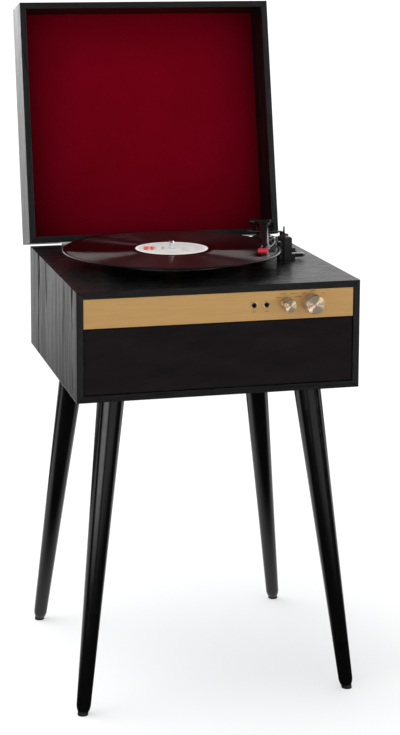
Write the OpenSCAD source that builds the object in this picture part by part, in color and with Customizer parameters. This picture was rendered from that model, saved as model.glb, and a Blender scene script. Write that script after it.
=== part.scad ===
// Record player in a wooden cabinet with a hinged lid, on four splayed turned legs.
// Millimetres, +Z up, front towards -Y. The floor is Z = 0. The origin is the middle
// of the bounding box of the player standing with its lid open.

/* [Cabinet] */
// Width of the cabinet and the lid
cab_w = 380; // [376:2:400]
// Depth of the cabinet and the lid, front to back
cab_d = 355; // [351:1:370]
// Height of the cabinet body without the lid
cab_h = 144; // [142:1:156]
// Thickness of the wrapped boards
board_t = 9; // [8.5:0.5:9.5]

/* [Lid] */
// Height of the closed lid
lid_h = 65; // [63:1:80]
// Opening angle of the lid, where the stop lugs hold it
lid_angle = 101.7; // [96:0.1:104]
// Gap between the closed lid and the deck
lid_gap = 1.5; // [1.4:0.1:2]

/* [Legs] */
// Height of the cabinet's underside above the floor
leg_h = 422; // [380:2:460]
// Diameter of a leg at the top
leg_top_d = 36; // [33:1:38]
// Diameter of a leg near the foot
leg_foot_d = 19; // [18:0.5:22]
// How far a foot stands outside the top of its leg, sideways
leg_out_x = 49; // [40:1:52]
// How far a foot stands outside the top of its leg, front to back
leg_out_y = 43; // [35:1:46]

/* [Fascia] */
// Height of the control fascia
fascia_h = 38.4; // [37:0.2:39]
// Diameter of the selector knob
selector_d = 17; // [15:0.5:19]
// Diameter of the volume knob
volume_d = 25; // [22:0.5:27]
// Length of the knobs in front of the fascia
knob_len = 16.5; // [14:0.5:18]

/* [Turntable] */
// Diameter of the record
record_d = 302; // [300:0.5:303]
// Diameter of the platter
platter_d = 200; // [190:2:220]
// Height of the record's upper face above the deck
record_h = 21; // [21:0.5:21.5]

/* [Tonearm] */
// Length from the arm's pivot to the stylus along the arm
arm_len = 229.9; // [228:0.1:231]
// Angle of the arm from straight ahead towards the record, where it plays
arm_angle = 16.25; // [15:0.05:17]
// Height of the arm's cross axle above the deck
axle_h = 28; // [28:0.1:28.4]

/* [Hidden] */
$fn = 64;

// half sizes, and the inside of the cabinet
W2 = cab_w / 2;
D2 = cab_d / 2;
IW2 = W2 - board_t;

// hinge axis, from the middle of the cabinet's underside
hinge_off = 2.4;
hinge_y = D2 + hinge_off;
hinge_z = cab_h + lid_gap;
hinge_x = 122.5;
hinge_w = 41;
leaf_t = 1.2;
leaf_h = 22;
knuckle_r = 2.1;
pin_r = 1.25;

// front and rear ends of the open player, which centre it on the origin
fascia_y = -D2 + 0.6;
front_end = -(fascia_y - knob_len);
rear_end = hinge_y - (cab_d + hinge_off) * cos(lid_angle) + lid_h * sin(lid_angle);
cab_y = (front_end - rear_end) / 2;

// front, from the middle of the cabinet's underside
fascia_top = cab_h - board_t - 0.3;
fascia_z0 = fascia_top - fascia_h;
knob_z = fascia_top - 18.2;
jack_x = [W2 - 145, W2 - 128];
selector_x = W2 - 100.5;
volume_x = W2 - 66.5;
baffle_y = fascia_y + 3.6;
baffle_t = 9;
speaker_x = 105;
speaker_z = (board_t + fascia_z0) / 2;

// turntable, from the middle of the deck
lp = [-22, -2.5];
mat_h = record_h - 2;
plate_h = mat_h - 2;
motor_d = 80;
motor_a = 135;
motor_p = [lp[0] + motor_d * cos(motor_a), lp[1] + motor_d * sin(motor_a)];
hub_r = 63;
pulley_r = 5;

// tonearm, from the middle of the deck
pivot = [156, 147.5];
rest_p = [137, -15.5];
clip_p = [142.5, 33.5];
lift_r = 65;
lift_p = [pivot[0] + lift_r * sin(6), pivot[1] - lift_r * cos(6)];

// ---------- shared shapes ----------
module at_cabinet() { translate([0, cab_y, leg_h]) children(); }
module at_deck() { translate([0, cab_y, leg_h + cab_h]) children(); }
module at_lid() { translate([0, cab_y + hinge_y, leg_h + hinge_z]) rotate([-lid_angle, 0, 0]) children(); }
module at_arm() { at_deck() translate([pivot[0], pivot[1], 0]) rotate([0, 0, -arm_angle]) children(); }

// a drawing in X and Z, drawn out along Y
module ext_y(y0, y1) { translate([0, y1, 0]) rotate([90, 0, 0]) linear_extrude(y1 - y0) children(); }
// a drawing in Y and Z, drawn out along X
module ext_x(x0, x1) { translate([x0, 0, 0]) rotate([90, 0, 90]) linear_extrude(x1 - x0) children(); }
// a cylinder along Y
module cyl_y(r, y0, y1) { translate([0, y1, 0]) rotate([90, 0, 0]) cylinder(r = r, h = y1 - y0); }
// a cylinder along X
module cyl_x(r, x0, x1) { translate([x0, 0, 0]) rotate([0, 90, 0]) cylinder(r = r, h = x1 - x0); }
// a box between two corners
module box(a, b) { translate(a) cube([b[0] - a[0], b[1] - a[1], b[2] - a[2]]); }
module rrect(w, h, r) {
  square([w - 2 * r, h], center = true);
  square([w, h - 2 * r], center = true);
  for (x = [-1, 1], y = [-1, 1]) translate([x * (w / 2 - r), y * (h / 2 - r)]) circle(r);
}
// a countersunk screw whose head is flush at Z = 0, and the hole that it fills
module screw(r, l, head) {
  translate([0, 0, -head * 0.5]) cylinder(r1 = r, r2 = head, h = head * 0.5);
  translate([0, 0, -l]) cylinder(r = r, h = l - head * 0.5);
}
module screw_hole(r, l, head) {
  translate([0, 0, -head * 0.5]) cylinder(r1 = r + 0.03, r2 = head + 0.03, h = head * 0.5);
  translate([0, 0, -l - 0.2]) cylinder(r = r + 0.03, h = l + 0.2 - head * 0.5);
}

// ---------- cabinet ----------
module side_profile() {
  polygon([[W2, 0], [W2, cab_h], [IW2, cab_h - board_t], [IW2, board_t]]);
}
module cabinet_side_right() { color([0.13, 0.13, 0.14]) at_cabinet() ext_y(-D2, D2) side_profile(); }
module cabinet_side_left() { color([0.13, 0.13, 0.14]) at_cabinet() ext_y(-D2, D2) mirror([1, 0, 0]) side_profile(); }
module cabinet_deck() {
  color([0.12, 0.12, 0.13]) difference() {
    at_cabinet() ext_y(-D2, D2)
      polygon([[-W2, cab_h], [W2, cab_h], [IW2, cab_h - board_t], [-IW2, cab_h - board_t]]);
    at_deck() {
      translate([lp[0], lp[1], -20]) cylinder(r = 9, h = 30);
      translate([motor_p[0], motor_p[1], -20]) cylinder(r = 7, h = 30);
      translate([pivot[0], pivot[1], -20]) cylinder(r = 7, h = 30);
      translate([lift_p[0], lift_p[1], -20]) cylinder(r = 3.5, h = 30);
      box([166, 35.7, -20], [170, 52.3, 10]);
      // screws of the hinges' upper row
      for (s = [-1, 1], k = [-1, 1])
        translate([s * hinge_x + k * 14, D2, -4.5]) rotate([-90, 0, 0]) screw_hole(1.2, 8, 2.2);
    }
  }
}
module cabinet_bottom() {
  color([0.12, 0.12, 0.13]) at_cabinet() difference() {
    ext_y(-D2, D2) polygon([[-W2, 0], [W2, 0], [IW2, board_t], [-IW2, board_t]]);
    each_leg() {
      cylinder(r = 6.5, h = 40, center = true);
      for (x = [-1, 1], y = [-1, 1]) translate([x * 22.5, y * 22.5, -leg_plate_t])
        rotate([180, 0, 0]) screw_hole(1.9, 10, 3.6);
    }
  }
}
module cabinet_back() {
  color([0.1, 0.1, 0.1]) at_cabinet() difference() {
    box([-IW2, D2 - 6, board_t], [IW2, D2, cab_h - board_t]);
    box([plate_x - 38, D2 - 10, plate_z - 19], [plate_x + 38, D2 + 10, plate_z + 19]);
    back_screw_spots() screw_hole(1.6, 16, 3.2);
    plate_screw_spots() translate([0, 0, 2]) screw_hole(1.3, 7, 2.5);
    for (s = [-1, 1], k = [-1, 1])
      translate([s * hinge_x + k * 14, D2, cab_h - 16]) rotate([-90, 0, 0]) screw_hole(1.2, 5, 2.2);
  }
}
plate_x = -95;
plate_z = 52;
// rear screws, looking in along -Y
module back_screw_spots() {
  for (s = [-1, 1], z = [board_t + 12, cab_h / 2 - 8, cab_h - board_t - 26])
    translate([s * (IW2 - 7.5), D2, z]) rotate([-90, 0, 0]) children();
}
module plate_screw_spots() {
  for (s = [-1, 1], k = [-1, 1]) translate([plate_x + s * 43, D2, plate_z + k * 21]) rotate([-90, 0, 0]) children();
}
module corner_blocks() {
  color([0.72, 0.55, 0.36]) at_cabinet() difference() {
    for (s = [-1, 1]) {
      translate([s * (IW2 - 7.5), D2 - 6 - 7.5, board_t]) translate([-7.5, -7.5, 0]) cube([15, 15, cab_h - 2 * board_t]);
      translate([s * (IW2 - 7.5), baffle_y + baffle_t + 7.5, board_t]) translate([-7.5, -7.5, 0]) cube([15, 15, cab_h - 2 * board_t]);
    }
    back_screw_spots() screw_hole(1.6, 16, 3.2);
  }
}
module rear_screws() {
  color([0.1, 0.1, 0.1]) at_cabinet() {
    back_screw_spots() screw(1.6, 16, 3.2);
    plate_screw_spots() translate([0, 0, 2]) screw(1.3, 7, 2.5);
  }
}

// ---------- front ----------
module front_baffle() {
  color([0.2, 0.18, 0.16]) at_cabinet() difference() {
    box([-IW2, baffle_y, board_t], [IW2, baffle_y + baffle_t, cab_h - board_t]);
    for (s = [-1, 1]) translate([s * speaker_x, 0, speaker_z]) {
      cyl_y(34, baffle_y - 5, baffle_y + baffle_t + 5);
      driver_screw_spots() screw_hole(1.4, 8, 2.7);
    }
    box([jack_x[0] - 12, baffle_y - 5, knob_z - 13], [volume_x + 14, baffle_y + baffle_t + 5, knob_z + 13]);
  }
}
module driver_screw_spots() {
  for (a = [45:90:315]) rotate([0, a, 0]) translate([36.6, baffle_y + baffle_t + 2, 0]) rotate([-90, 0, 0]) children();
}
module front_fascia() {
  color([0.78, 0.62, 0.38]) at_cabinet() difference() {
    box([-IW2 + 0.4, fascia_y, fascia_z0], [IW2 - 0.4, baffle_y, fascia_top]);
    for (x = jack_x) translate([x, 0, knob_z]) cyl_y(4.8, -D2 - 5, -D2 + 20);
    translate([selector_x, 0, knob_z]) cyl_y(3.8, -D2 - 5, -D2 + 20);
    translate([volume_x, 0, knob_z]) cyl_y(3.8, -D2 - 5, -D2 + 20);
  }
}
module grille_board() {
  color([0.1, 0.1, 0.1]) at_cabinet() difference() {
    box([-IW2 + 1.4, baffle_y - 1.9, board_t + 1.4], [IW2 - 1.4, baffle_y, fascia_z0 - 1.9]);
    for (s = [-1, 1]) translate([s * speaker_x, 0, speaker_z]) cyl_y(34, baffle_y - 5, baffle_y + 5);
  }
}
// woven cloth in front of the board, turned back round its four edges
module grille_cloth() {
  color([0.09, 0.09, 0.09]) at_cabinet() difference() {
    box([-IW2 + 0.5, fascia_y + 0.7, board_t + 0.5], [IW2 - 0.5, baffle_y - 0.05, fascia_z0 - 1]);
    box([-IW2 + 1.3, baffle_y - 2, board_t + 1.3], [IW2 - 1.3, baffle_y + 1, fascia_z0 - 1.8]);
  }
}
module speaker_drivers() {
  color([0.3, 0.3, 0.32]) at_cabinet() for (s = [-1, 1]) difference() {
    translate([s * speaker_x, 0, speaker_z]) {
      y0 = baffle_y + baffle_t;
      // pressed basket
      translate([0, y0, 0]) rotate([-90, 0, 0]) rotate_extrude()
        polygon([[34.2, 0], [38.5, 0], [38.5, 2], [34.8, 2], [17, 22], [17, 24], [6.5, 24], [6.5, 22.6], [16, 22.6], [16, 21.4], [34.2, 1]]);
      // ring magnet with its back plate
      translate([0, y0 + 24, 0]) rotate([-90, 0, 0]) rotate_extrude()
        polygon([[6.5, 0], [22.5, 0], [22.5, 10], [24, 10], [24, 13], [0, 13], [0, 11], [6.5, 11]]);
    }
    translate([s * speaker_x, 0, speaker_z]) driver_screw_spots() screw_hole(1.4, 8, 2.7);
  }
}
module speaker_cones() {
  color([0.12, 0.12, 0.13]) at_cabinet() for (s = [-1, 1]) translate([s * speaker_x, baffle_y + baffle_t, speaker_z])
    rotate([-90, 0, 0]) rotate_extrude()
      polygon([[33.7, 0.3], [33.7, 1.1], [31.5, -0.6], [29, 1.2], [11, 15.6], [5.9, 15.6], [5.9, 28], [5.2, 28],
               [5.2, 15.6], [0, 12.2], [0, 11.4], [10.6, 14.6], [28.6, 0.2], [31.5, -1.6]]);
}

// ---------- controls ----------
module control_board() {
  color([0.05, 0.3, 0.16]) at_cabinet() difference() {
    box([jack_x[0] - 10, fascia_y + 24, knob_z - 15], [volume_x + 12, fascia_y + 25.6, knob_z + 15]);
    for (x = [selector_x, volume_x]) translate([x, 0, knob_z]) cyl_y(3.3, fascia_y + 20, fascia_y + 30);
  }
}
module jack_sockets() {
  color([0.04, 0.04, 0.04]) at_cabinet() for (x = jack_x) translate([x, 0, knob_z]) difference() {
    union() {
      cyl_y(3.35, fascia_y + 0.2, fascia_y + 9);
      box([-4.5, fascia_y + 8, -5], [4.5, fascia_y + 24, 5]);
    }
    cyl_y(1.8, fascia_y - 1, fascia_y + 15.2);
  }
}
module jack_rings() {
  color([0.8, 0.72, 0.56]) at_cabinet() for (x = jack_x) translate([x, 0, knob_z]) difference() {
    cyl_y(4.75, fascia_y - 0.4, fascia_y + 4);
    cyl_y(3.38, fascia_y - 1, fascia_y + 5);
  }
}
// a switch or potentiometer: body, bushing through the fascia and the bore for its shaft
module control_body(body_w) {
  difference() {
    union() {
      box([-body_w / 2, fascia_y + 12, -body_w / 2], [body_w / 2, fascia_y + 24, body_w / 2]);
      cyl_y(3.5, fascia_y - 3, fascia_y + 12.5);
      // nut in front of the fascia
      cyl_y(5.2, fascia_y - 1.8, fascia_y - 0.05);
      cyl_y(6.5, fascia_y + 3.65, fascia_y + 5);
    }
    cyl_y(3.04, fascia_y - 4, fascia_y + 30);
  }
}
module selector_switch() { color([0.5, 0.5, 0.5]) at_cabinet() translate([selector_x, 0, knob_z]) control_body(18); }
module volume_control() { color([0.5, 0.5, 0.5]) at_cabinet() translate([volume_x, 0, knob_z]) control_body(20); }
// a spun metal knob on its shaft; the notch in its rim marks the setting
module knob(d, a) {
  difference() {
    union() {
      difference() {
        translate([0, fascia_y - 0.6, 0]) rotate([90, 0, 0]) rotate_extrude()
          polygon([[0, 0], [d / 2 - 0.5, 0], [d / 2, 0.5], [d / 2 - 0.25, knob_len - 1.6], [d / 2 - 0.9, knob_len - 0.6], [0, knob_len - 0.6]]);
        cyl_y(6.6, fascia_y - 4.2, fascia_y + 1);
      }
      cyl_y(3, fascia_y - 6, fascia_y + 23);
    }
    rotate([0, a, 0]) translate([0, 0, d / 2]) cyl_y(0.7, fascia_y - 20, fascia_y - 9);
  }
}
module selector_knob() { color([0.83, 0.74, 0.58]) at_cabinet() translate([selector_x, 0, knob_z]) knob(selector_d, -60); }
module volume_knob() { color([0.83, 0.74, 0.58]) at_cabinet() translate([volume_x, 0, knob_z]) knob(volume_d, 72); }

// ---------- rear terminals ----------
rca_x = [-22, -4];
dc_x = 24;
module terminal_plate() {
  color([0.07, 0.07, 0.07]) at_cabinet() difference() {
    translate([plate_x, 0, plate_z]) ext_y(D2, D2 + 2) rrect(94, 50, 3);
    plate_screw_spots() translate([0, 0, 2]) screw_hole(1.3, 7, 2.5);
    for (x = rca_x) translate([plate_x + x, 0, plate_z]) cyl_y(5, D2 - 5, D2 + 5);
    translate([plate_x + dc_x, 0, plate_z]) cyl_y(5, D2 - 5, D2 + 5);
  }
}
module rca_sockets() {
  color([0.75, 0.75, 0.75]) at_cabinet() for (x = rca_x) translate([plate_x + x, 0, plate_z]) difference() {
    union() {
      cyl_y(4.95, D2 - 9, D2 + 2);
      cyl_y(6, D2 + 2, D2 + 3);
      cyl_y(4.15, D2 + 3, D2 + 11);
    }
    cyl_y(1.65, D2 + 1, D2 + 12);
  }
}
module dc_inlet() {
  color([0.05, 0.05, 0.05]) at_cabinet() translate([plate_x + dc_x, 0, plate_z]) difference() {
    union() {
      cyl_y(4.95, D2 - 10, D2 + 2);
      cyl_y(6.2, D2 + 2, D2 + 3.2);
    }
    cyl_y(2.8, D2 - 6, D2 + 4);
  }
}

// ---------- legs ----------
leg_plate_t = 2.5;
leg_x = W2 - 56;
leg_y = D2 - 51.5;
leg_len = norm([leg_out_x, leg_out_y, leg_h]);
leg_tilt = atan2(norm([leg_out_x, leg_out_y]), leg_h);
module each_leg() { for (sx = [-1, 1], sy = [-1, 1]) translate([sx * leg_x, sy * leg_y, 0]) children(); }
// Z runs down the leg's own axis from its top
module leg_axis(sx, sy) {
  translate([sx * leg_x, sy * leg_y, 0])
    rotate([0, 0, atan2(sy * leg_out_y, sx * leg_out_x)]) rotate([0, 180 - leg_tilt, 0]) children();
}
module leg(sx, sy) {
  intersection() {
    difference() {
      leg_axis(sx, sy) rotate_extrude()
        polygon([[0, -10], [leg_top_d / 2 + 0.4, -10], [leg_foot_d / 2, leg_len - 12], [leg_foot_d / 2 - 0.9, leg_len - 7.5],
                 [leg_foot_d / 2 - 2.2, leg_len - 4.6], [0, leg_len - 4.6]]);
      leg_axis(sx, sy) translate([0, 0, -12]) cylinder(r = 4.05, h = 52);
      leg_axis(sx, sy) translate([0, 0, leg_len - 16]) cylinder(r = 1.63, h = 20);
    }
    translate([sx * leg_x, sy * leg_y, -leg_h / 2 - leg_plate_t]) cube([200, 200, leg_h], center = true);
  }
}
module front_legs() { color([0.04, 0.04, 0.05]) at_cabinet() { leg(-1, -1); leg(1, -1); } }
module rear_legs() { color([0.04, 0.04, 0.05]) at_cabinet() { leg(-1, 1); leg(1, 1); } }
module leg_plates() {
  color([0.4, 0.4, 0.42]) at_cabinet() difference() {
    each_leg() union() {
      translate([0, 0, -leg_plate_t]) linear_extrude(leg_plate_t) rrect(56, 56, 4);
      cylinder(r = 6.4, h = 7);
    }
    for (sx = [-1, 1], sy = [-1, 1]) leg_axis(sx, sy) translate([0, 0, -20]) cylinder(r = 4.05, h = 40);
    each_leg() for (x = [-1, 1], y = [-1, 1]) translate([x * 22.5, y * 22.5, -leg_plate_t])
      rotate([180, 0, 0]) screw_hole(1.9, 10, 3.6);
  }
}
module leg_bolts() {
  color([0.6, 0.6, 0.62]) at_cabinet() for (sx = [-1, 1], sy = [-1, 1])
    leg_axis(sx, sy) translate([0, 0, -6]) cylinder(r = 4, h = 44);
}
module leg_plate_screws() {
  color([0.55, 0.55, 0.57]) at_cabinet() each_leg() for (x = [-1, 1], y = [-1, 1])
    translate([x * 22.5, y * 22.5, -leg_plate_t]) rotate([180, 0, 0]) screw(1.9, 10, 3.6);
}
module foot_glides() {
  color([0.06, 0.06, 0.06]) at_cabinet() for (sx = [-1, 1], sy = [-1, 1]) intersection() {
    leg_axis(sx, sy) {
      translate([0, 0, leg_len - 4.55]) cylinder(r = 7, h = 7);
      translate([0, 0, leg_len - 14]) cylinder(r = 1.6, h = 10);
    }
    translate([0, 0, -leg_h + 100]) cube([600, 600, 200], center = true);
  }
}

// ---------- hinges ----------
// knuckles from left to right: cabinet, lid, cabinet, lid, cabinet
kw = hinge_w / 5;
module knuckle(i) {
  difference() {
    cyl_x(knuckle_r, -hinge_w / 2 + i * kw + 0.1, -hinge_w / 2 + (i + 1) * kw - 0.1);
    cyl_x(pin_r + 0.04, -hinge_w, hinge_w);
  }
}
module hinge_leaf_cabinet() {
  difference() {
    union() {
      box([-hinge_w / 2, -hinge_off, -leaf_h], [hinge_w / 2, -hinge_off + leaf_t, -2.8]);
      for (i = [0, 2, 4]) box([-hinge_w / 2 + i * kw + 0.1, -hinge_off, -3], [-hinge_w / 2 + (i + 1) * kw - 0.1, -hinge_off + leaf_t, -0.3]);
      // lug behind the middle knuckle, on which the open lid's leaf rests
      ext_x(-3, 3) polygon([[-1.3, -2.2], [-1.3, -8.5], [1, -8.5], [10.4, -4.2], [10.4, -1.2], [3.2, 0.28], [1.9, -0.4], [1.4, -1.9]]);
    }
    cyl_x(pin_r + 0.04, -hinge_w, hinge_w);
    for (z = [-6, -17.5], k = [-1, 1]) translate([k * 14, -hinge_off + leaf_t, z]) rotate([-90, 0, 0]) screw_hole(1.2, 6, 2.2);
  }
  for (i = [0, 2, 4]) knuckle(i);
}
module hinge_leaf_lid() {
  difference() {
    union() {
      box([-hinge_w / 2, -hinge_off, 2.8], [hinge_w / 2, -hinge_off + leaf_t, leaf_h]);
      for (i = [1, 3]) box([-hinge_w / 2 + i * kw + 0.1, -hinge_off, 0.3], [-hinge_w / 2 + (i + 1) * kw - 0.1, -hinge_off + leaf_t, 3]);
    }
    cyl_x(pin_r + 0.04, -hinge_w, hinge_w);
    for (z = [6.5, 17.5], k = [-1, 1]) translate([k * 14, -hinge_off + leaf_t, z]) rotate([-90, 0, 0]) screw_hole(1.2, 6, 2.2);
  }
  for (i = [1, 3]) knuckle(i);
}
module at_hinge_cabinet() { for (s = [-1, 1]) at_cabinet() translate([s * hinge_x, hinge_y, hinge_z]) children(); }
module hinge_leaves_cabinet() { color([0.6, 0.59, 0.57]) at_hinge_cabinet() hinge_leaf_cabinet(); }
module hinge_pins() { color([0.7, 0.7, 0.69]) at_hinge_cabinet() cyl_x(pin_r, -hinge_w / 2, hinge_w / 2); }
module hinge_screws_cabinet() {
  color([0.55, 0.54, 0.53]) at_hinge_cabinet() for (k = [-1, 1]) {
    translate([k * 14, -hinge_off + leaf_t, -6]) rotate([-90, 0, 0]) screw(1.2, 6, 2.2);
    translate([k * 14, -hinge_off + leaf_t, -17.5]) rotate([-90, 0, 0]) screw(1.2, 6, 2.2);
  }
}
module hinge_leaves_lid() { color([0.6, 0.59, 0.57]) at_lid() for (s = [-1, 1]) translate([s * hinge_x, 0, 0]) hinge_leaf_lid(); }
module hinge_screws_lid() {
  color([0.55, 0.54, 0.53]) at_lid() for (s = [-1, 1], z = [6.5, 17.5], k = [-1, 1])
    translate([s * hinge_x + k * 14, -hinge_off + leaf_t, z]) rotate([-90, 0, 0]) screw(1.2, 6, 2.2);
}

// ---------- lid, drawn closed with the hinge axis at Y = 0 and its rim at Z = 0 ----------
LR = -hinge_off;
LF = -hinge_off - cab_d;
module lid_plan(side) {
  t = board_t;
  if (side == "front") polygon([[-W2, LF], [W2, LF], [IW2, LF + t], [-IW2, LF + t]]);
  if (side == "rear") polygon([[W2, LR], [-W2, LR], [-IW2, LR - t], [IW2, LR - t]]);
  if (side == "right") polygon([[W2, LF], [W2, LR], [IW2, LR - t], [IW2, LF + t]]);
  if (side == "left") polygon([[-W2, LR], [-W2, LF], [-IW2, LF + t], [-IW2, LR - t]]);
}
module lid_front_wall() {
  color([0.13, 0.13, 0.14]) at_lid() intersection() {
    linear_extrude(lid_h) lid_plan("front");
    ext_x(-W2, W2) polygon([[LF, 0], [LF, lid_h], [LF + board_t, lid_h - board_t], [LF + board_t, 0]]);
  }
}
module lid_rear_wall() {
  color([0.13, 0.13, 0.14]) at_lid() difference() {
    intersection() {
      linear_extrude(lid_h) lid_plan("rear");
      ext_x(-W2, W2) polygon([[LR, 0], [LR, lid_h], [LR - board_t, lid_h - board_t], [LR - board_t, 0]]);
    }
    for (s = [-1, 1], z = [6.5, 17.5], k = [-1, 1])
      translate([s * hinge_x + k * 14, LR + leaf_t, z]) rotate([-90, 0, 0]) screw_hole(1.2, 6, 2.2);
  }
}
module lid_side(side, s) {
  intersection() {
    linear_extrude(lid_h) lid_plan(side);
    ext_y(LF, LR) polygon([[s * W2, 0], [s * W2, lid_h], [s * IW2, lid_h - board_t], [s * IW2, 0]]);
  }
}
module lid_side_left() { color([0.16, 0.16, 0.17]) at_lid() lid_side("left", -1); }
module lid_side_right() { color([0.16, 0.16, 0.17]) at_lid() lid_side("right", 1); }
module lid_top_panel() {
  color([0.13, 0.13, 0.14]) at_lid() intersection() {
    ext_y(LF, LR) polygon([[-W2, lid_h], [W2, lid_h], [IW2, lid_h - board_t], [-IW2, lid_h - board_t]]);
    ext_x(-W2, W2) polygon([[LF, lid_h], [LR, lid_h], [LR - board_t, lid_h - board_t], [LF + board_t, lid_h - board_t]]);
  }
}
module lid_lining() {
  color([0.45, 0.02, 0.08]) at_lid()
    box([-IW2 + 0.3, LF + board_t + 0.3, lid_h - board_t - 1], [IW2 - 0.3, LR - board_t - 0.3, lid_h - board_t]);
}
module lid_bumpers() {
  color([0.05, 0.05, 0.05]) at_lid() for (s = [-1, 1]) translate([s * (W2 - 20), LF + board_t / 2, -1.1]) cylinder(r = 3.5, h = 1.1);
}

// ---------- platter, motor and belt ----------
module bearing_housing() {
  color([0.72, 0.6, 0.35]) at_deck() translate([lp[0], lp[1], 0]) difference() {
    union() {
      cylinder(r = 15, h = 2.5);
      cylinder(r = 6.5, h = 4);
      translate([0, 0, -32]) cylinder(r = 8.9, h = 32);
    }
    translate([0, 0, -29.5]) cylinder(r = 3.04, h = 40);
  }
}
module platter() {
  color([0.15, 0.15, 0.16]) at_deck() translate([lp[0], lp[1], 0]) rotate_extrude()
    polygon([[3.02, 5], [9, 5], [9, plate_h - 4], [hub_r - 4, plate_h - 4], [hub_r - 4, 5.5], [hub_r, 5.5], [hub_r, plate_h - 4],
             [platter_d / 2 - 4, plate_h - 4], [platter_d / 2 - 4, 7], [platter_d / 2 - 0.6, 7], [platter_d / 2, 7.6],
             [platter_d / 2, plate_h - 1], [platter_d / 2 - 1, plate_h], [3.02, plate_h]]);
}
module slipmat() {
  color([0.1, 0.1, 0.1]) at_deck() translate([lp[0], lp[1], plate_h]) difference() {
    cylinder(r = platter_d / 2 - 2, h = 2);
    translate([0, 0, -1]) cylinder(r = 3.62, h = 4);
  }
}
module spindle() {
  color([0.75, 0.75, 0.77]) at_deck() translate([lp[0], lp[1], 0]) rotate_extrude()
    polygon([[0, -29], [2.6, -29], [3, -28.6], [3, plate_h], [3.3, plate_h], [3.3, record_h + 0.2], [3.6, record_h + 0.2],
             [3.6, record_h + 8.8], [3.2, record_h + 9.9], [2.3, record_h + 10.6], [1, record_h + 11], [0, record_h + 11]]);
}
module record() {
  color([0.03, 0.03, 0.03]) at_deck() translate([lp[0], lp[1], 0]) rotate_extrude()
    polygon([[3.62, mat_h], [record_d / 2 - 0.7, mat_h], [record_d / 2, mat_h + 0.7], [record_d / 2, mat_h + 1.2], [record_d / 2 - 0.8, mat_h + 1.9],
             [record_d / 2 - 3, mat_h + 1.9], [record_d / 2 - 4.5, mat_h + 1.6], [52, mat_h + 1.6], [50.5, mat_h + 2], [3.62, mat_h + 2]]);
}
// motor can with its carrier plate
module motor() {
  color([0.7, 0.7, 0.72]) at_deck() translate([motor_p[0], motor_p[1], 0]) difference() {
    union() {
      translate([0, 0, -38]) cylinder(r = 16, h = 22.5);
      translate([0, 0, -16]) cylinder(r = 27, h = 1.5);
      translate([0, 0, -15]) cylinder(r = 5, h = 3);
    }
    translate([0, 0, -36]) cylinder(r = 1.04, h = 30);
  }
}
// rubber bushes between the carrier plate and the deck
module motor_mounts() {
  color([0.1, 0.1, 0.1]) at_deck() translate([motor_p[0], motor_p[1], 0])
    for (a = [90:120:330]) rotate([0, 0, a]) translate([21, 0, -14.5]) cylinder(r = 4, h = 14.5 - board_t);
}
module motor_pulley() {
  color([0.8, 0.7, 0.4]) at_deck() translate([motor_p[0], motor_p[1], 0]) {
    rotate_extrude() polygon([[0, 4.6], [6.4, 4.6], [6.4, 5.4], [pulley_r, 5.6], [pulley_r, 11.2], [6.4, 11.4], [6.4, 12], [0, 12]]);
    translate([0, 0, -35]) cylinder(r = 1, h = 40);
  }
}
// outline of a belt round two wheels
module belt_outline(r1, r2) {
  hull() {
    circle(r1, $fn = 128);
    translate([motor_d, 0]) circle(r2, $fn = 64);
  }
}
module drive_belt() {
  color([0.05, 0.05, 0.05]) at_deck() translate([lp[0], lp[1], 6]) rotate([0, 0, motor_a]) linear_extrude(4.8)
    difference() {
      belt_outline(hub_r + 1.1, pulley_r + 1.1);
      belt_outline(hub_r + 0.3, pulley_r + 0.3);
    }
}

// ---------- tonearm ----------
// turret under the swivel, and the guide tube of the lift platform
module arm_base() {
  color([0.06, 0.06, 0.065]) at_deck() {
    translate([pivot[0], pivot[1], 0]) difference() {
      union() {
        rotate_extrude() polygon([[0, 0], [18, 0], [18, 4.6], [17, 5.6], [12, 6], [11, 7], [11, 11.5], [0, 11.5]]);
        translate([0, 0, -14]) cylinder(r = 6.9, h = 15);
      }
      translate([0, 0, -15]) cylinder(r = 3.04, h = 30);
    }
    translate([lift_p[0], lift_p[1], 0]) difference() {
      union() {
        cylinder(r = 4.6, h = 17);
        translate([0, 0, -13]) cylinder(r = 3.4, h = 14);
      }
      translate([0, 0, -14]) cylinder(r = 2.05, h = 40);
    }
  }
}
// swivel: shaft, cross plate and two ears
module arm_yoke() {
  color([0.07, 0.07, 0.075]) at_arm() {
    translate([0, 0, -12]) cylinder(r = 3, h = 25);
    translate([0, 0, 12]) linear_extrude(3.6) rrect(31, 17, 3);
    for (s = [-1, 1]) difference() {
      union() {
        box([s > 0 ? 11.6 : -15.4, -4.8, 15], [s > 0 ? 15.4 : -11.6, 4.8, axle_h]);
        translate([0, 0, axle_h]) cyl_x(4.8, s > 0 ? 11.6 : -15.4, s > 0 ? 15.4 : -11.6);
      }
      translate([0, 0, axle_h]) cyl_x(1.55, -16, 16);
    }
    // bearing cap with its slot
    translate([0, 0, axle_h]) difference() {
      cyl_x(4, -20.4, -15.3);
      cyl_x(1.55, -16, -15);
      box([-21, -0.5, -5], [-19.6, 0.5, 5]);
    }
  }
}
head_s = 205;
head_turn = 6;
tip_s = arm_len - head_s;
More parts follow.
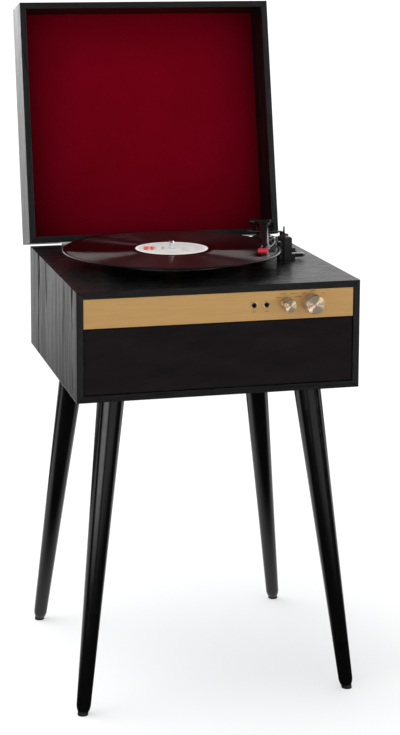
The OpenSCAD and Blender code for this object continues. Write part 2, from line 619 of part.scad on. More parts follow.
// the arm points along -Y from its pivot
module at_head() { at_arm() translate([0, -head_s, 0]) rotate([0, 0, -head_turn]) children(); }
module arm_beam() {
  color([0.05, 0.05, 0.055]) {
    at_arm() {
      // trunnions
      translate([0, 0, axle_h]) cyl_x(1.5, -15, 15);
      // rear block, neck and beam
      difference() {
        intersection() {
          translate([0, 0, 15]) linear_extrude(30)
            polygon([[-11, 12], [11, 12], [11, -9.8], [6.2, -27], [4.7, -head_s - 4], [-4.7, -head_s - 4], [-6.2, -27], [-11, -9.8]]);
          ext_x(-20, 20) polygon([[13, axle_h - 3], [12, axle_h + 2.6], [10, axle_h + 3.8], [-9, axle_h + 3.8], [-9.8, axle_h + 2.6], [-27, axle_h + 2.6], [-110, axle_h + 2.2],
                                  [-150, axle_h + 1.6], [-head_s - 5, axle_h + 1], [-head_s - 5, axle_h - 3], [-27, axle_h - 3], [-9, axle_h - 5], [9, axle_h - 5]]);
        }
        // slot at the rear
        box([-3, 6, axle_h + 1], [3, 14, axle_h + 8]);
      }
    }
    // turned head with its finger lift
    at_head() {
      translate([0, 0, axle_h - 2.6]) linear_extrude(3.8)
        polygon([[-4.9, 8], [4.9, 8], [7.6, -3], [7.6, -26], [5.6, -29], [-5.6, -29], [-7.6, -26], [-7.6, -3]]);
      translate([2.6, -17, axle_h + 13.6]) rotate([90, 0, 0]) rotate([0, 0, -90]) rotate_extrude(angle = 70)
        translate([12.2, 0]) square([1.4, 5]);
    }
  }
}
module cartridge() {
  color([0.09, 0.09, 0.1]) at_head() difference() {
    box([-6, -17, record_h + 1.2], [6, -5.4, axle_h - 2.6]);
    box([-7, -14, record_h + 1], [7, -8, record_h + 2]);
  }
}
module stylus() {
  color([0.75, 0.04, 0.1]) at_head() {
    difference() {
      ext_x(-6.4, 6.4) polygon([[-17, record_h + 1.6], [-17, axle_h - 2.6], [-29, axle_h - 2.6], [-29, axle_h + 0.8], [-35, axle_h + 0.4],
                                [-39, axle_h - 2.5], [-39, record_h + 2.4], [-35, record_h + 1.3]]);
      box([-3, -40, record_h + 1], [3, -35.5, axle_h - 3.2]);
    }
    translate([0, -tip_s, record_h + 0.3]) cylinder(r1 = 0.15, r2 = 0.6, h = 2.2);
  }
}
module arm_rest() {
  color([0.07, 0.07, 0.075]) at_deck() {
    // block with a low shelf on which the arm parks
    ext_y(rest_p[1], rest_p[1] + 19) translate([rest_p[0], 0]) {
      square([11, 29]);
      translate([3, 0]) square([5, 32]);
      for (x = [3, 8]) translate([x, 29]) circle(3);
    }
    box([rest_p[0] - 6, rest_p[1] + 3.5, 0], [rest_p[0] + 0.1, rest_p[1] + 15.5, axle_h - 3.6]);
    // lug and pin of the clip
    box([clip_p[0] - 2.1, rest_p[1] + 18.9, 0], [clip_p[0] + 6, rest_p[1] + 24, clip_p[1] - 0.2]);
    translate([clip_p[0], 0, clip_p[1]]) cyl_y(2.1, rest_p[1] + 18.9, rest_p[1] + 24);
    translate([clip_p[0], 0, clip_p[1]]) cyl_y(1.2, rest_p[1] + 20, rest_p[1] + 29.6);
    // ears and pin of the cue lever
    for (y = [1, 15]) box([rest_p[0] + 10.9, rest_p[1] + y, 0], [rest_p[0] + 16, rest_p[1] + y + 2, 8]);
    translate([rest_p[0] + 13.4, 0, 5]) cyl_y(1.2, rest_p[1] + 2, rest_p[1] + 16);
  }
}
// stands open beside the arm, and turns over it
module arm_clip() {
  color([0.05, 0.05, 0.055]) at_deck() translate([clip_p[0], 0, clip_p[1]]) difference() {
    union() {
      cyl_y(2, rest_p[1] + 24.3, rest_p[1] + 29);
      ext_y(rest_p[1] + 24.6, rest_p[1] + 28.6) polygon([[0.3, -1.9], [2.2, -1], [2.7, 0.6], [2.4, 9.4], [1.4, 9.4], [1, 2.2], [0.3, 1.9]]);
    }
    cyl_y(1.25, -100, 100);
  }
}
module cue_lever() {
  color([0.06, 0.06, 0.065]) at_deck() translate([rest_p[0] + 13.4, rest_p[1] + 9, 5]) difference() {
    union() {
      cyl_y(2.4, -5.7, 5.7);
      intersection() {
        translate([0, 0, -5]) linear_extrude(10) polygon([[0, -5], [0, 5], [12, 5.6], [15, 5], [19.5, -1.5], [15, -5.4]]);
        ext_y(-6, 6) polygon([[0, -2.4], [0, 2.4], [4, 2.9], [15, 2.7], [20, 1.2], [20, -0.6], [14, -2.2]]);
      }
    }
    cyl_y(1.25, -20, 20);
  }
}
module lift_platform() {
  color([0.08, 0.08, 0.085]) at_deck() {
    translate([lift_p[0], lift_p[1], -12]) cylinder(r = 2, h = axle_h - 3.5 + 12);
    translate([pivot[0], pivot[1], axle_h - 5.5]) rotate([0, 0, -90 + 6 - 44]) rotate_extrude(angle = 44)
      translate([lift_r - 1.6, 0]) square([3.2, 2]);
  }
}
module speed_slider() {
  color([0.07, 0.07, 0.075]) at_deck() {
    box([166.3, 36, -13], [169.7, 42, 1]);
    translate([168, 39, 0.8]) linear_extrude(2) rrect(8, 9, 1.5);
    box([165.5, 37.8, 2.6], [170.5, 40.2, 6.5]);
  }
}

cabinet_side_left();
cabinet_side_right();
cabinet_deck();
cabinet_bottom();
cabinet_back();
corner_blocks();
front_baffle();
front_fascia();
grille_board();
grille_cloth();
speaker_drivers();
speaker_cones();
control_board();
jack_sockets();
jack_rings();
selector_switch();
volume_control();
terminal_plate();
rca_sockets();
dc_inlet();
rear_screws();
front_legs();
rear_legs();
leg_plates();
leg_bolts();
leg_plate_screws();
foot_glides();
hinge_leaves_cabinet();
hinge_pins();
hinge_screws_cabinet();
bearing_housing();
motor();
motor_mounts();
drive_belt();
arm_base();
arm_rest();
lid_top_panel();
lid_front_wall();
lid_rear_wall();
lid_side_left();
lid_side_right();
lid_lining();
lid_bumpers();
hinge_leaves_lid();
hinge_screws_lid();
platter();
slipmat();
spindle();
record();
motor_pulley();
arm_yoke();
arm_beam();
cartridge();
stylus();
lift_platform();
cue_lever();
arm_clip();
speed_slider();
selector_knob();
volume_knob();
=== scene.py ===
import math
import random

import bmesh
import bpy
from mathutils import Matrix, Vector

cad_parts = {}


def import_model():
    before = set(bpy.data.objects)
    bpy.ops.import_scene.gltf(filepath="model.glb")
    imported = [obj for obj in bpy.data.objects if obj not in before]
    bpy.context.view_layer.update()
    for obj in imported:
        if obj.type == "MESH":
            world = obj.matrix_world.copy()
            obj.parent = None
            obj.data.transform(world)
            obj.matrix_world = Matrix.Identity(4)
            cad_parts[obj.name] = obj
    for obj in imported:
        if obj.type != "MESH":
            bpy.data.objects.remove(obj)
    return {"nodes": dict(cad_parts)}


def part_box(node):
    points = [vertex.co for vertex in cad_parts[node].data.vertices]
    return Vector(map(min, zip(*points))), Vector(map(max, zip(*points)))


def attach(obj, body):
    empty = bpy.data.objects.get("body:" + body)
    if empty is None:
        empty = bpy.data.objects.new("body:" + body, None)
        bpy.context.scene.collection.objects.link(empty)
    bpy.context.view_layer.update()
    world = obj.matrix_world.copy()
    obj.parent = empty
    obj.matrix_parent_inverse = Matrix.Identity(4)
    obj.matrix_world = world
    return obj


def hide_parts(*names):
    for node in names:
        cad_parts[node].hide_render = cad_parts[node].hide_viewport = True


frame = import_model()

random.seed(11)
N = frame["nodes"]
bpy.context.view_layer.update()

# ---------------------------------------------------------------- places, from the CAD nodes
MM = 0.001
deck_lo, deck_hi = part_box("cabinet_deck")
TOP = deck_hi.z                                   # top of the deck
CY = (deck_lo.y + deck_hi.y) / 2                  # middle of the cabinet
HALF_W = deck_hi.x
HALF_D = (deck_hi.y - deck_lo.y) / 2
rec_lo, rec_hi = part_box("record")
LP = Vector(((rec_lo.x + rec_hi.x) / 2, (rec_lo.y + rec_hi.y) / 2, 0))
sel_lo, sel_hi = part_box("selector_knob")
vol_lo, vol_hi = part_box("volume_knob")
fas_lo, fas_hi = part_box("front_fascia")
LID_TILT = math.radians(101.7)
HINGE = Vector((0, CY + HALF_D + 2.4 * MM, TOP + 1.5 * MM))
PIVOT = Vector((156 * MM, CY + 147.5 * MM, TOP))
ARM_ANGLE = math.radians(16.25)
HEAD_TURN = math.radians(6)
AXLE = 28 * MM


# ---------------------------------------------------------------- materials
class Mat:
    """A node material with short names for what it needs."""

    def __init__(self, name, base=(0.5, 0.5, 0.5), rough=0.5, metal=0.0, spec=0.5, coat=0.0, coat_rough=0.05, sheen=0.0, aniso=0.0):
        self.m = bpy.data.materials.new(name)
        self.m.use_nodes = True
        self.nt = self.m.node_tree
        self.b = self.nt.nodes["Principled BSDF"]
        i = self.b.inputs
        i["Base Color"].default_value = (*base, 1)
        i["Roughness"].default_value = rough
        i["Metallic"].default_value = metal
        i["Specular IOR Level"].default_value = spec
        i["Coat Weight"].default_value = coat
        i["Coat Roughness"].default_value = coat_rough
        i["Sheen Weight"].default_value = sheen
        i["Anisotropic"].default_value = aniso
        self.normal = None

    def node(self, kind, **props):
        n = self.nt.nodes.new(kind)
        for k, v in props.items():
            setattr(n, k, v)
        return n

    def link(self, a, b):
        self.nt.links.new(a, b)

    def coords(self, scale=(1, 1, 1), rot=(0, 0, 0), loc=(0, 0, 0)):
        t = self.node("ShaderNodeTexCoord")
        m = self.node("ShaderNodeMapping")
        m.inputs["Location"].default_value = loc
        m.inputs["Rotation"].default_value = rot
        m.inputs["Scale"].default_value = scale
        self.link(t.outputs["Object"], m.inputs["Vector"])
        return m.outputs["Vector"]

    def noise(self, vec, scale=1.0, detail=4.0, rough=0.5, dist=0.0):
        n = self.node("ShaderNodeTexNoise")
        n.inputs["Scale"].default_value = scale
        n.inputs["Detail"].default_value = detail
        n.inputs["Roughness"].default_value = rough
        n.inputs["Distortion"].default_value = dist
        self.link(vec, n.inputs["Vector"])
        return n.outputs["Fac"]

    def wave(self, vec, scale, kind="BANDS", direction="X", dist=0.0, detail=0.0, dscale=1.0, profile="SIN"):
        n = self.node("ShaderNodeTexWave", wave_type=kind, wave_profile=profile)
        if kind == "BANDS":
            n.bands_direction = direction
        else:
            n.rings_direction = direction
        n.inputs["Scale"].default_value = scale
        n.inputs["Distortion"].default_value = dist
        n.inputs["Detail"].default_value = detail
        n.inputs["Detail Scale"].default_value = dscale
        self.link(vec, n.inputs["Vector"])
        return n.outputs["Fac"]

    def math(self, op, a, b=None, c=None, clamp=False):
        n = self.node("ShaderNodeMath", operation=op, use_clamp=clamp)
        for k, v in enumerate((a, b, c)):
            if v is None:
                continue
            if isinstance(v, (int, float)):
                n.inputs[k].default_value = v
            else:
                self.link(v, n.inputs[k])
        return n.outputs[0]

    def ramp(self, fac, stops, interp="LINEAR"):
        n = self.node("ShaderNodeValToRGB")
        n.color_ramp.interpolation = interp
        e = n.color_ramp.elements
        while len(e) < len(stops):
            e.new(0.5)
        for s, (p, col) in zip(e, stops):
            s.position = p
            s.color = (*col, 1) if len(col) == 3 else col
        self.link(fac, n.inputs["Fac"])
        return n.outputs["Color"]

    def remap(self, fac, lo, hi, a=0.0, b=1.0):
        n = self.node("ShaderNodeMapRange")
        n.inputs["From Min"].default_value = lo
        n.inputs["From Max"].default_value = hi
        n.inputs["To Min"].default_value = a
        n.inputs["To Max"].default_value = b
        self.link(fac, n.inputs["Value"])
        return n.outputs["Result"]

    def mix(self, fac, a, b, blend="MIX"):
        n = self.node("ShaderNodeMix", data_type="RGBA", blend_type=blend)
        for k, v in ((0, fac), (6, a), (7, b)):
            if isinstance(v, (int, float)):
                n.inputs[k].default_value = v
            elif isinstance(v, tuple):
                n.inputs[k].default_value = (*v, 1)
            else:
                self.link(v, n.inputs[k])
        return n.outputs[2]

    def bump(self, height, strength=0.3, distance=0.0005):
        n = self.node("ShaderNodeBump")
        n.inputs["Strength"].default_value = strength
        n.inputs["Distance"].default_value = distance
        self.link(height, n.inputs["Height"])
        if self.normal is not None:
            self.link(self.normal, n.inputs["Normal"])
        self.normal = n.outputs["Normal"]
        self.link(self.normal, self.b.inputs["Normal"])
        return self

    def color(self, c):
        self.link(c, self.b.inputs["Base Color"])
        return self

    def rough(self, r):
        self.link(r, self.b.inputs["Roughness"])
        return self


def ash(name, along="X", rot=(0, 0, 0), seed=0.0, dark=(0.0022, 0.0022, 0.0023), light=(0.0085, 0.0083, 0.0083), rough=0.32, spec=0.32, lines=1.0, figs=(0.38, 0.54)):
    """Open-pored black ash wrap. Long streaks and arches run along one axis of the piece."""
    m = Mat(name, dark, rough, spec=spec)
    ax = {"X": 0, "Y": 1, "Z": 2}[along]

    def sc(a, b):
        return tuple(a if k == ax else b for k in range(3))

    loc = (seed, seed * 1.7, seed * 0.6)
    side = {0: "Y", 1: "X", 2: "X"}[ax]
    # slow figure of the board, stretched along the grain
    fig = m.noise(m.coords(sc(3.4, 17), rot, loc), 1, 3, 0.55, 0.5)
    # growth lines: thin and dark, gathered where the figure is dark
    late = m.remap(m.wave(m.coords(sc(1.3, 10.5), rot, loc), 1.0, dist=7.0, detail=3, dscale=1.8, direction=side), 0.962, 0.999)
    late = m.math("MULTIPLY", late, m.remap(fig, figs[0], figs[1], 1.0, 0.10))
    early = m.remap(m.wave(m.coords(sc(1.1, 24), rot, loc), 1.0, dist=9.0, detail=3, dscale=1.8, direction=side), 0.70, 0.98)
    # pores: short open grooves
    pore = m.remap(m.noise(m.coords(sc(20, 520), rot, loc), 1, 5, 0.62, 0.15), 0.56, 0.70)
    pore2 = m.remap(m.noise(m.coords(sc(46, 1700), rot, loc), 1, 3, 0.6), 0.50, 0.66)
    fine = m.math("MAXIMUM", m.math("MULTIPLY", pore, 0.55), m.math("MULTIPLY", pore2, 0.35))
    grain = m.math("MAXIMUM", m.math("MULTIPLY", m.math("MAXIMUM", late, m.math("MULTIPLY", early, 0.24)), lines), fine)
    tone = m.math("ADD", m.math("MULTIPLY", grain, -0.75), m.math("ADD", m.math("MULTIPLY", fig, 0.3), 0.7), clamp=True)
    m.color(m.ramp(tone, [(0.05, dark), (0.55, tuple((a + b) / 2 for a, b in zip(dark, light))), (1.0, light)]))
    m.rough(m.remap(m.math("ADD", m.math("MULTIPLY", grain, 0.9), m.math("MULTIPLY", fig, 0.15)), 0.0, 0.95, rough - 0.03, rough + 0.5))
    m.link(m.remap(m.math("ADD", grain, m.math("MULTIPLY", fig, 0.15)), 0.05, 0.9, spec, spec * 0.04), m.b.inputs["Specular IOR Level"])
    m.bump(m.math("MULTIPLY", grain, -1.0), 0.6, 0.00025)
    m.bump(m.noise(m.coords((900, 900, 900)), 1, 2, 0.5), 0.06, 0.0001)
    return m.m


def plain(name, base, rough, grain=1200, grain_strength=0.12, metal=0.0, spec=0.5, coat=0.0, vary=0.25, coat_rough=0.06, sheen=0.0):
    """Moulded or painted surface: slow tone and gloss changes, a fine texture."""
    m = Mat(name, base, rough, metal, spec, coat, coat_rough, sheen)
    slow = m.noise(m.coords((35, 35, 35)), 1, 3, 0.55)
    fine = m.noise(m.coords((grain,) * 3), 1, 2, 0.5)
    lo = tuple(max(0.0, c * (1 - vary)) for c in base)
    hi = tuple(min(1.0, c * (1 + vary) + 0.002) for c in base)
    m.color(m.ramp(slow, [(0.3, lo), (0.7, hi)]))
    m.rough(m.remap(m.math("ADD", m.math("MULTIPLY", slow, 0.6), m.math("MULTIPLY", fine, 0.4)), 0.3, 0.7, max(0.02, rough - 0.06), min(1, rough + 0.1)))
    m.bump(fine, grain_strength, 0.00008)
    return m.m


def brushed(name, base, rough, along="X", metal=1.0, aniso=0.5, streak=0.22):
    m = Mat(name, base, rough, metal, 0.5, aniso=aniso)
    ax = {"X": 0, "Y": 1, "Z": 2}[along]
    sc = tuple(9 if k == ax else 2600 for k in range(3))
    sc2 = tuple(30 if k == ax else 900 for k in range(3))
    a = m.noise(m.coords(sc), 1, 3, 0.6)
    b = m.noise(m.coords(sc2), 1, 3, 0.6)
    s = m.math("ADD", m.math("MULTIPLY", a, 0.6), m.math("MULTIPLY", b, 0.4))
    m.color(m.ramp(s, [(0.3, tuple(c * (1 - streak) for c in base)), (0.7, tuple(min(1, c * (1 + streak * 0.6)) for c in base))]))
    m.rough(m.remap(s, 0.3, 0.7, rough - 0.07, rough + 0.1))
    m.bump(s, 0.18, 0.00006)
    return m.m


def spun(name, base, rough, centre, axis="Y", freq=2600):
    """Turned metal: fine rings round an axis."""
    m = Mat(name, base, rough, 1.0, 0.5, aniso=1.0)
    loc = tuple(-c for c in centre)
    t = m.node("ShaderNodeTexCoord")
    mp = m.node("ShaderNodeMapping")
    mp.inputs["Location"].default_value = loc
    m.link(t.outputs["Object"], mp.inputs["Vector"])
    sep = m.node("ShaderNodeSeparateXYZ")
    m.link(mp.outputs["Vector"], sep.inputs["Vector"])
    keep = [k for k in "XYZ" if k != axis]
    r = m.math("SQRT", m.math("ADD", m.math("POWER", sep.outputs[keep[0]], 2), m.math("POWER", sep.outputs[keep[1]], 2)))
    comb = m.node("ShaderNodeCombineXYZ")
    m.link(m.math("MULTIPLY", r, freq), comb.inputs[0])
    ring = m.noise(comb.outputs[0], 1, 2, 0.5)
    m.color(m.ramp(ring, [(0.3, tuple(c * 0.86 for c in base)), (0.7, tuple(min(1, c * 1.06) for c in base))]))
    m.rough(m.remap(ring, 0.3, 0.7, rough - 0.05, rough + 0.08))
    m.bump(ring, 0.22, 0.00008)
    tan = m.node("ShaderNodeTangent", direction_type="RADIAL", axis=axis)
    m.link(tan.outputs["Tangent"], m.b.inputs["Tangent"])
    m.b.inputs["Anisotropic Rotation"].default_value = 0.25
    return m.m


WRAP_V = ash("ash_upright", "Z", seed=1.3, spec=0.38, figs=(0.50, 0.66))
WRAP_V_RIGHT = ash("ash_upright_right", "Z", seed=5.2, lines=0.40, figs=(0.50, 0.66))
# painted shade: the deck and bottom boards get darker tones than the other ash boards, with a faint red tint that is a
# painted reflection of the lid's red lining
WRAP_X = ash("ash_deck", "X", seed=4.1, dark=(0.0012, 0.0010, 0.0010), light=(0.0046, 0.0041, 0.0041), rough=0.22, lines=0.40)
WRAP_LID_SIDE = ash("ash_lid_side", "Z", rot=(math.radians(-11.7), 0, 0), seed=7.7, lines=0.8)
WRAP_LID_X = ash("ash_lid_ends", "X", seed=9.2)
BLACK_BOARD = plain("black_board", (0.016, 0.0155, 0.015), 0.75, grain=500, grain_strength=0.3, spec=0.3)
PINE = ash("pine", "Z", seed=3.3, dark=(0.36, 0.22, 0.11), light=(0.66, 0.47, 0.27), rough=0.6, spec=0.3)
GOLD = brushed("gold_brushed", (0.665, 0.395, 0.148), 0.38, "X", metal=0.6, streak=0.14)
GOLD_RING = plain("gold_ring", (0.70, 0.50, 0.27), 0.3, metal=1.0, grain_strength=0.05)
STEEL = brushed("steel_plain", (0.52, 0.52, 0.53), 0.35, "X", aniso=0.2)
ZINC = plain("zinc_plate", (0.55, 0.56, 0.58), 0.38, metal=1.0, grain=300, grain_strength=0.1)
CHROME = plain("chrome_polished", (0.83, 0.83, 0.85), 0.08, metal=1.0, grain_strength=0.02, vary=0.04)
BRASS = plain("brass_turned", (0.60, 0.42, 0.18), 0.3, metal=1.0, grain=600, grain_strength=0.1, vary=0.2)
NICKEL = plain("nickel_plate", (0.88, 0.86, 0.84), 0.28, metal=0.5, grain=600, grain_strength=0.05, vary=0.1)
BLACK_STEEL = plain("black_steel", (0.012, 0.012, 0.013), 0.35, grain=900, grain_strength=0.1)
GLOSS_PLASTIC = plain("black_gloss_plastic", (0.006, 0.006, 0.0065), 0.13, grain=1500, grain_strength=0.03)
SATIN_PLASTIC = plain("black_satin_plastic", (0.008, 0.008, 0.0085), 0.30, grain=2500, grain_strength=0.15)
RED_PLASTIC = plain("red_plastic", (0.55, 0.012, 0.03), 0.22, grain=1500, grain_strength=0.03)
RUBBER = plain("rubber", (0.014, 0.014, 0.014), 0.72, grain=1500, grain_strength=0.3, spec=0.3)
CIRCUIT = plain("circuit_laminate", (0.02, 0.14, 0.07), 0.45)
PAPER_CONE = plain("paper_cone", (0.03, 0.03, 0.032), 0.85, grain=900, grain_strength=0.6)
RED_RING = plain("plug_ring_red", (0.45, 0.02, 0.02), 0.4)
WHITE_RING = plain("plug_ring_white", (0.75, 0.74, 0.7), 0.4)


def lacquer():
    m = Mat("leg_lacquer", (0.0035, 0.0033, 0.0033), 0.12, spec=0.45)
    slow = m.noise(m.coords((26, 26, 9)), 1, 3, 0.5)
    fine = m.noise(m.coords((260, 260, 60)), 1, 3, 0.55)
    m.color(m.ramp(slow, [(0.3, (0.0014, 0.0013, 0.0013)), (0.75, (0.0034, 0.0030, 0.0029))]))
    m.rough(m.remap(fine, 0.3, 0.7, 0.08, 0.18))
    m.bump(fine, 0.06, 0.0003)
    m.bump(m.noise(m.coords((1400, 1400, 300)), 1, 2, 0.5), 0.03, 0.0001)
    return m.m


LACQUER = lacquer()


def flock():
    m = Mat("crimson_flock", (0.165, 0.0, 0.005), 0.95, spec=0.04, sheen=0.03)
    m.b.inputs["Sheen Tint"].default_value = (0.9, 0.1, 0.15, 1)
    m.b.inputs["Sheen Roughness"].default_value = 0.5
    slow = m.noise(m.coords((9, 9, 9)), 1, 4, 0.6, 0.4)
    fine = m.noise(m.coords((2600, 2600, 2600)), 1, 2, 0.6)
    brush = m.noise(m.coords((300, 300, 60)), 1, 3, 0.6)
    t = m.math("ADD", m.math("MULTIPLY", slow, 0.4), m.math("ADD", m.math("MULTIPLY", fine, 0.35), m.math("MULTIPLY", brush, 0.25)))
    tone = m.ramp(t, [(0.32, (0.165, 0.0, 0.006)), (0.5, (0.20, 0.0, 0.0085)), (0.68, (0.24, 0.0, 0.012))])
    # painted shade: the flock is darkened towards the lid's side walls, and less towards its low edge by the hinge,
    # where shade falls
    tc = m.node("ShaderNodeTexCoord")
    sep = m.node("ShaderNodeSeparateXYZ")
    m.link(tc.outputs["Object"], sep.inputs["Vector"])
    side = m.math("SUBTRACT", 0.1807, m.math("ABSOLUTE", sep.outputs["X"]))
    low = m.math("SUBTRACT", sep.outputs["Z"], TOP + 0.012)
    near = m.math("ADD", m.math("EXPONENT", m.math("MULTIPLY", side, -26.0)), m.math("MULTIPLY", m.math("EXPONENT", m.math("MULTIPLY", low, -30.0)), 0.5))
    m.color(m.mix(m.math("MULTIPLY", near, 0.62, clamp=True), tone, (0.055, 0.0, 0.003)))
    m.bump(fine, 0.5, 0.0003)
    m.bump(brush, 0.15, 0.0004)
    return m.m


def weave(name, base, hi, pitch=1500.0, plane="XZ", rough=0.95, cloud=0.0):
    """Plain weave: two crossed sets of threads."""
    m = Mat(name, base, rough, spec=0.1)
    u, v = plane
    t = m.node("ShaderNodeTexCoord")
    sep = m.node("ShaderNodeSeparateXYZ")
    m.link(t.outputs["Object"], sep.inputs["Vector"])
    a = m.math("MULTIPLY", sep.outputs[u], pitch * 2)
    b = m.math("MULTIPLY", sep.outputs[v], pitch * 2)
    su = m.math("SINE", a)
    sv = m.math("SINE", b)
    w = m.math("MULTIPLY", m.math("ADD", m.math("MULTIPLY", su, sv), 1.0), 0.5)
    n = m.noise(m.coords((700, 700, 700)), 1, 3, 0.6)
    slub = m.noise(m.coords((60, 60, 900)), 1, 3, 0.6)
    k = m.math("ADD", m.math("MULTIPLY", w, 0.5), m.math("ADD", m.math("MULTIPLY", n, 0.3), m.math("MULTIPLY", slub, 0.3)))
    if cloud:
        drift = m.noise(m.coords((14, 14, 55)), 1, 4, 0.6)
        k = m.math("ADD", k, m.math("MULTIPLY", m.math("SUBTRACT", drift, 0.5), cloud))
    m.color(m.ramp(k, [(0.25, base), (0.85, hi)]))
    m.bump(w, 0.6, 0.0002)
    m.bump(slub, 0.2, 0.0002)
    return m.m


FLOCK = flock()
CLOTH = weave("grille_weave", (0.0060, 0.0043, 0.0048), (0.016, 0.0122, 0.0130), 2100, cloud=0.7)
FELT = weave("felt_mat", (0.010, 0.010, 0.010), (0.022, 0.021, 0.021), 900, "XY")


# ---------------------------------------------------------------- mesh helpers
def add(name, verts, faces, material, body, smooth=True, angle=35, at=(0, 0, 0), slot=None):
    me = bpy.data.meshes.new(name)
    me.from_pydata([tuple(v) for v in verts], [], faces)
    me.validate()
    bm = bmesh.new()
    bm.from_mesh(me)
    bmesh.ops.remove_doubles(bm, verts=bm.verts, dist=1e-7)
    bmesh.ops.recalc_face_normals(bm, faces=bm.faces)
    bm.to_mesh(me)
    bm.free()
    o = bpy.data.objects.new(name, me)
    bpy.context.scene.collection.objects.link(o)
    o.location = at
    me.materials.append(material)
    if smooth:
        me.shade_smooth()
        me.set_sharp_from_angle(angle=math.radians(angle))
    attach(o, body)
    return o


def bevel(o, width, segments=2, angle=30):
    b = o.modifiers.new("bevel", "BEVEL")
    b.width = width
    b.segments = segments
    b.limit_method = "ANGLE"
    b.angle_limit = math.radians(angle)
    b.miter_outer = "MITER_ARC"
    b.harden_normals = False
    return o


def lathe(profile, seg=96, axis="Z"):
    """Verts and faces of a profile of (r, z), closed on the axis where r is 0, or closed on itself."""
    verts, faces, rings = [], [], []
    for r, z in profile:
        if r <= 1e-9:
            rings.append([len(verts)])
            verts.append((0, 0, z))
        else:
            rings.append(list(range(len(verts), len(verts) + seg)))
            for k in range(seg):
                t = 2 * math.pi * k / seg
                verts.append((r * math.cos(t), r * math.sin(t), z))
    for a, b in zip(rings, rings[1:]):
        for k in range(seg):
            j = (k + 1) % seg
            if len(a) == 1 and len(b) == 1:
                continue
            if len(a) == 1:
                faces.append((a[0], b[k], b[j]))
            elif len(b) == 1:
                faces.append((a[k], a[j], b[0]))
            else:
                faces.append((a[k], a[j], b[j], b[k]))
    if axis == "Y":   # the profile's z points towards -Y
        verts = [(x, -z, y) for x, y, z in verts]
    return verts, faces


def loft(sections, closed=True):
    """Joins rings of equally many points; caps both ends."""
    verts, faces = [], []
    n = len(sections[0])
    for s in sections:
        verts += [tuple(p) for p in s]
    for i in range(len(sections) - 1):
        for k in range(n):
            j = (k + 1) % n
            faces.append((i * n + k, i * n + j, (i + 1) * n + j, (i + 1) * n + k))
    faces.append(tuple(reversed(range(n))))
    faces.append(tuple(range((len(sections) - 1) * n, len(sections) * n)))
    return verts, faces


def merge(*parts):
    verts, faces = [], []
    for v, f in parts:
        o = len(verts)
        verts += [tuple(p) for p in v]
        faces += [tuple(i + o for i in q) for q in f]
    return verts, faces


def moved(part, m):
    v, f = part
    return [tuple(m @ Vector(p)) for p in v], f


def box_part(lo, hi, r=0.0):
    """A box with its twelve edges cut back by r, so that each edge has its own facet."""
    if r <= 0:
        x0, y0, z0 = lo
        x1, y1, z1 = hi
        v = [(x0, y0, z0), (x1, y0, z0), (x1, y1, z0), (x0, y1, z0), (x0, y0, z1), (x1, y0, z1), (x1, y1, z1), (x0, y1, z1)]
        return v, [(0, 3, 2, 1), (4, 5, 6, 7), (0, 1, 5, 4), (1, 2, 6, 5), (2, 3, 7, 6), (3, 0, 4, 7)]

    def ring(inset, z):
        x0, y0, x1, y1 = lo[0] + inset, lo[1] + inset, hi[0] - inset, hi[1] - inset
        pts = []
        for cx, cy, a0 in ((x1 - r, y1 - r, 0), (x0 + r, y1 - r, 90), (x0 + r, y0 + r, 180), (x1 - r, y0 + r, 270)):
            for k in range(4):
                a = math.radians(a0 + 30 * k)
                pts.append((cx + r * math.cos(a), cy + r * math.sin(a), z))
        return pts

    zs = [(r, lo[2]), (r * 0.5, lo[2] + r * 0.134), (r * 0.134, lo[2] + r * 0.5), (0, lo[2] + r), (0, hi[2] - r), (r * 0.134, hi[2] - r * 0.5), (r * 0.5, hi[2] - r * 0.134), (r, hi[2])]
    rings = []
    for inset, z in zs:
        k = max(r - inset, r * 0.05)
        x0, y0, x1, y1 = lo[0] + inset, lo[1] + inset, hi[0] - inset, hi[1] - inset
        pts = []
        for cx, cy, a0 in ((x1 - k, y1 - k, 0), (x0 + k, y1 - k, 90), (x0 + k, y0 + k, 180), (x1 - k, y0 + k, 270)):
            for q in range(4):
                a = math.radians(a0 + 30 * q)
                pts.append((cx + k * math.cos(a), cy + k * math.sin(a), z))
        rings.append(pts)
    return loft(rings)


def tube(path, r, seg=12, r_end=None):
    """A round rod along a path of points."""
    secs = []
    n = len(path)
    up = Vector((0, 0, 1))
    for i, p in enumerate(path):
        p = Vector(p)
        d = (Vector(path[min(i + 1, n - 1)]) - Vector(path[max(i - 1, 0)])).normalized()
        s = d.cross(up)
        if s.length < 1e-4:
            s = d.cross(Vector((1, 0, 0)))
        s.normalize()
        t = s.cross(d).normalized()
        rr = r if r_end is None else r + (r_end - r) * i / (n - 1)
        if i in (0, n - 1):
            rr *= 0.6
        secs.append([p + s * rr * math.cos(2 * math.pi * k / seg) + t * rr * math.sin(2 * math.pi * k / seg) for k in range(seg)])
    return loft(secs)


def dress(material, *names, edge=0.0, segments=2, angle=30):
    """Gives CAD nodes their material, and rounds their sharp edges."""
    for n in names:
        o = N[n]
        o.data.materials.clear()
        o.data.materials.append(material)
        for p in o.data.polygons:
            p.material_index = 0
        if edge:
            w = o.modifiers.new("weld", "WELD")
            w.merge_threshold = 2e-6
            bevel(o, edge, segments, angle)


